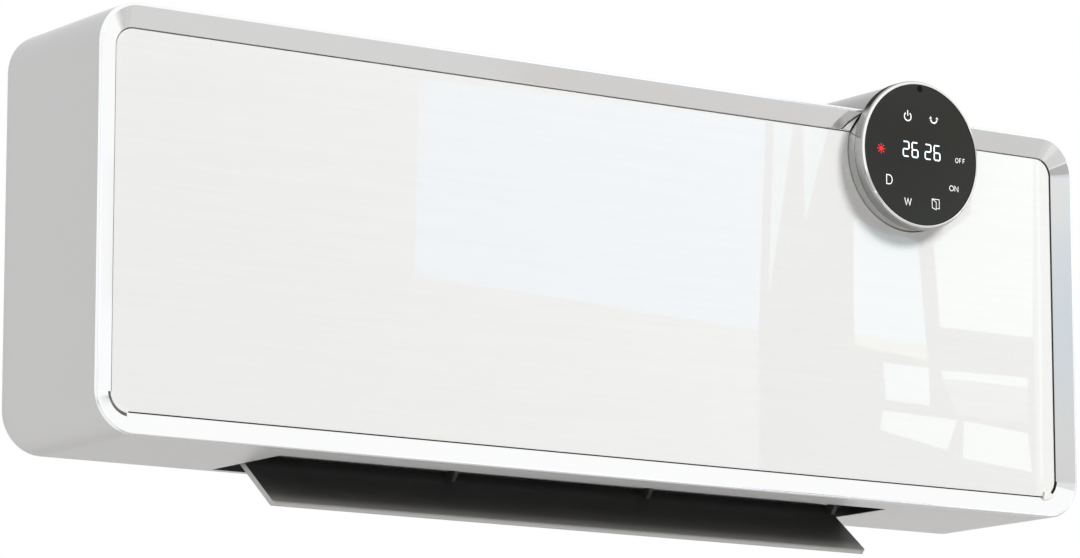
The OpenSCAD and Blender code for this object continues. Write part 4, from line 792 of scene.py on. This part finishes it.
def segment_bars(figure):
    """Outlines of the lit bars of one seven-segment figure, with pointed ends"""
    w, h, t = (DIGIT_W - BAR_W) / 2, (DIGIT_H - BAR_W) / 2, BAR_W / 2
    spans = {"a": ((-w, h), (w, h)), "b": ((w, h), (w, 0)), "c": ((w, 0), (w, -h)),
             "d": ((-w, -h), (w, -h)), "e": ((-w, 0), (-w, -h)), "f": ((-w, h), (-w, 0)),
             "g": ((-w, 0), (w, 0))}
    bars = []
    for letter in SEGMENTS[figure]:
        a, b = (Vector(p) for p in spans[letter])
        run = (b - a).normalized()
        side = Vector((-run.y, run.x)) * t
        a, b = a + run * BAR_GAP, b - run * BAR_GAP
        bars.append([a, a + run * t + side, b - run * t + side, b, b - run * t - side,
                     a + run * t - side])
    return bars


def print_mark(name, at, material, outlines=(), strokes=(), pen=0.5):
    """Prints flat outlines, and strokes given as [points, closed], on the touch glass"""
    bm = bmesh.new()
    for outline in outlines:
        add_prism(bm, outline, mark_place(at))
    for points, closed in strokes:
        add_stroke(bm, points, pen, mark_place(at), closed)
    piece(name, mesh_of(name, bm), material)


# Plain letters in a box one high and one wide, as strokes of [points, closed]
LETTERS = {
    "D": [([(-0.5, -0.5), (-0.5, 0.5)] + bow(0.55, 90, -90, 0.909, 14, (-0.05, 0)), True)],
    "F": [([(-0.36, -0.5), (-0.36, 0.5), (0.42, 0.5)], False), ([(-0.36, 0.03), (0.3, 0.03)], False)],
    "N": [([(-0.5, -0.5), (-0.5, 0.5), (0.5, -0.5), (0.5, 0.5)], False)],
    "O": [(bow(0.62, 0, 345, 0.806, 23), True)],
    "W": [([(-0.5, 0.5), (-0.26, -0.5), (0, 0.42), (0.26, -0.5), (0.5, 0.5)], False)],
}


def print_word(name, word, at, height, width, pen, material):
    """Prints a generic word, fitted to a height and a width in millimetres"""
    step = width / (len(word) - LETTER_SPACE) if len(word) > 1 else width
    letter_w = step * LETTER_SHARE if len(word) > 1 else width
    strokes = []
    for i, letter in enumerate(word):
        middle = (i - (len(word) - 1) / 2) * step
        strokes += [([(middle + x * (letter_w - pen), y * (height - pen)) for x, y in points], closed)
                    for points, closed in LETTERS[letter]]
    print_mark(name, at, material, strokes=strokes, pen=pen)


def sun_tree():
    """A round core with rays set evenly round it"""
    shape = Shape("sun rays", [("Rays", "Int", 8), ("Core", "Float", 1.1), ("Reach", "Float", 2.7),
                               ("Pen", "Float", 0.5), ("Thick", "Float", 0.08),
                               ("Material", "Material", None)])
    given = shape.given
    core = shape.add("GeometryNodeMeshCylinder", {"Vertices": 24, "Radius": given["Core"],
                                                  "Depth": given["Thick"]}).outputs[0]
    ring = shape.add("GeometryNodeMeshCircle", {"Vertices": given["Rays"], "Radius": shape.math(
        "MULTIPLY", shape.math("ADD", given["Core"], given["Reach"]), RAY_MIDDLE)}).outputs[0]
    length = shape.math("MULTIPLY", shape.math("SUBTRACT", given["Reach"], given["Core"]), RAY_LENGTH)
    ray = shape.add("GeometryNodeMeshCube", {"Size": shape.xyz(length, given["Pen"],
                                                               given["Thick"])}).outputs[0]
    spread = shape.add("GeometryNodeInputPosition").outputs[0]
    turned = shape.add("FunctionNodeAlignRotationToVector", {"Vector": spread}, axis="X").outputs[0]
    rays = shape.add("GeometryNodeInstanceOnPoints", {"Points": ring, "Instance": ray,
                                                      "Rotation": turned}).outputs[0]
    joined = shape.add("GeometryNodeJoinGeometry")
    for part in (core, rays):
        shape.tree.links.new(part, joined.inputs[0])
    return shape.close(joined.outputs[0])


def print_sun(at, material):
    mesh = baked("heat_mark", bpy.data.meshes.new("start"), sun_tree(), {
        "Rays": 8, "Core": 1.15, "Reach": 2.6, "Pen": 0.4, "Thick": 1.0, "Material": material})
    place = mark_place(at)
    for vertex in mesh.vertices:
        vertex.co = place((vertex.co.x, vertex.co.y), vertex.co.z + 0.5)
    bm = bmesh.new()
    bm.from_mesh(mesh)
    piece("heat_mark", mesh_of("heat_mark", bm), material)


def light_finish(name, colour, strength):
    material = plastic(name, colour, 0.4, grain=0.0, drift=0.02, edge=0.0)
    shader = material.node_tree.nodes["Principled BSDF"]
    shader.inputs["Emission Color"].default_value = rgb(*colour)
    shader.inputs["Emission Strength"].default_value = strength
    return material


def make_marks():
    lit = light_finish("lit segments", (0.80, 0.93, 1.0), 0.75)
    pale = light_finish("printed marks", (0.86, 0.86, 0.84), 0.45)
    red = light_finish("lit red", (0.9, 0.01, 0.02), 0.8)
    for i, (figure, at) in enumerate(DIGITS):
        print_mark(f"digit_{i + 1}", at, lit, segment_bars(figure))
    print_mark("power_mark", POWER_AT, pale, pen=POWER_PEN, strokes=[
        (bow(2.25, 126, 414, 1.0, 28), False), ([(0, 0.4), (0, 3.3)], False)])
    tips = [[(side * 3.1, 0.45), (side * 2.2, 1.85), (side * 1.25, 0.85)] for side in (-1, 1)]
    print_mark("swing_mark", SWING_AT, pale, tips, [(bow(2.15, 190, 350, 1, centre=(0, 0.6)), False)],
               SWING_PEN)
    print_sun(HEAT_AT, red)
    for name, facts in WORDS.items():
        print_word(name, *facts, pale)
    sash = [([(0.9, -2.3), (2.4, -2.3), (2.4, 2.5), (-2.4, 2.5)], False),
            ([(-2.4, 2.5), (0.35, 1.0), (0.35, -3.0), (-2.4, -2.2)], True)]
    print_mark("window_mark", WINDOW_AT, pale, strokes=sash, pen=WINDOW_PEN)


# ------------------------------------------------------------------ making

scene.view_settings.view_transform = "Standard"
make_camera()
finishes = make_finishes()
make_front_frame(finishes["frame_chrome"])
make_clip_edges(finishes["clip_white"])
make_marks()
make_stage()
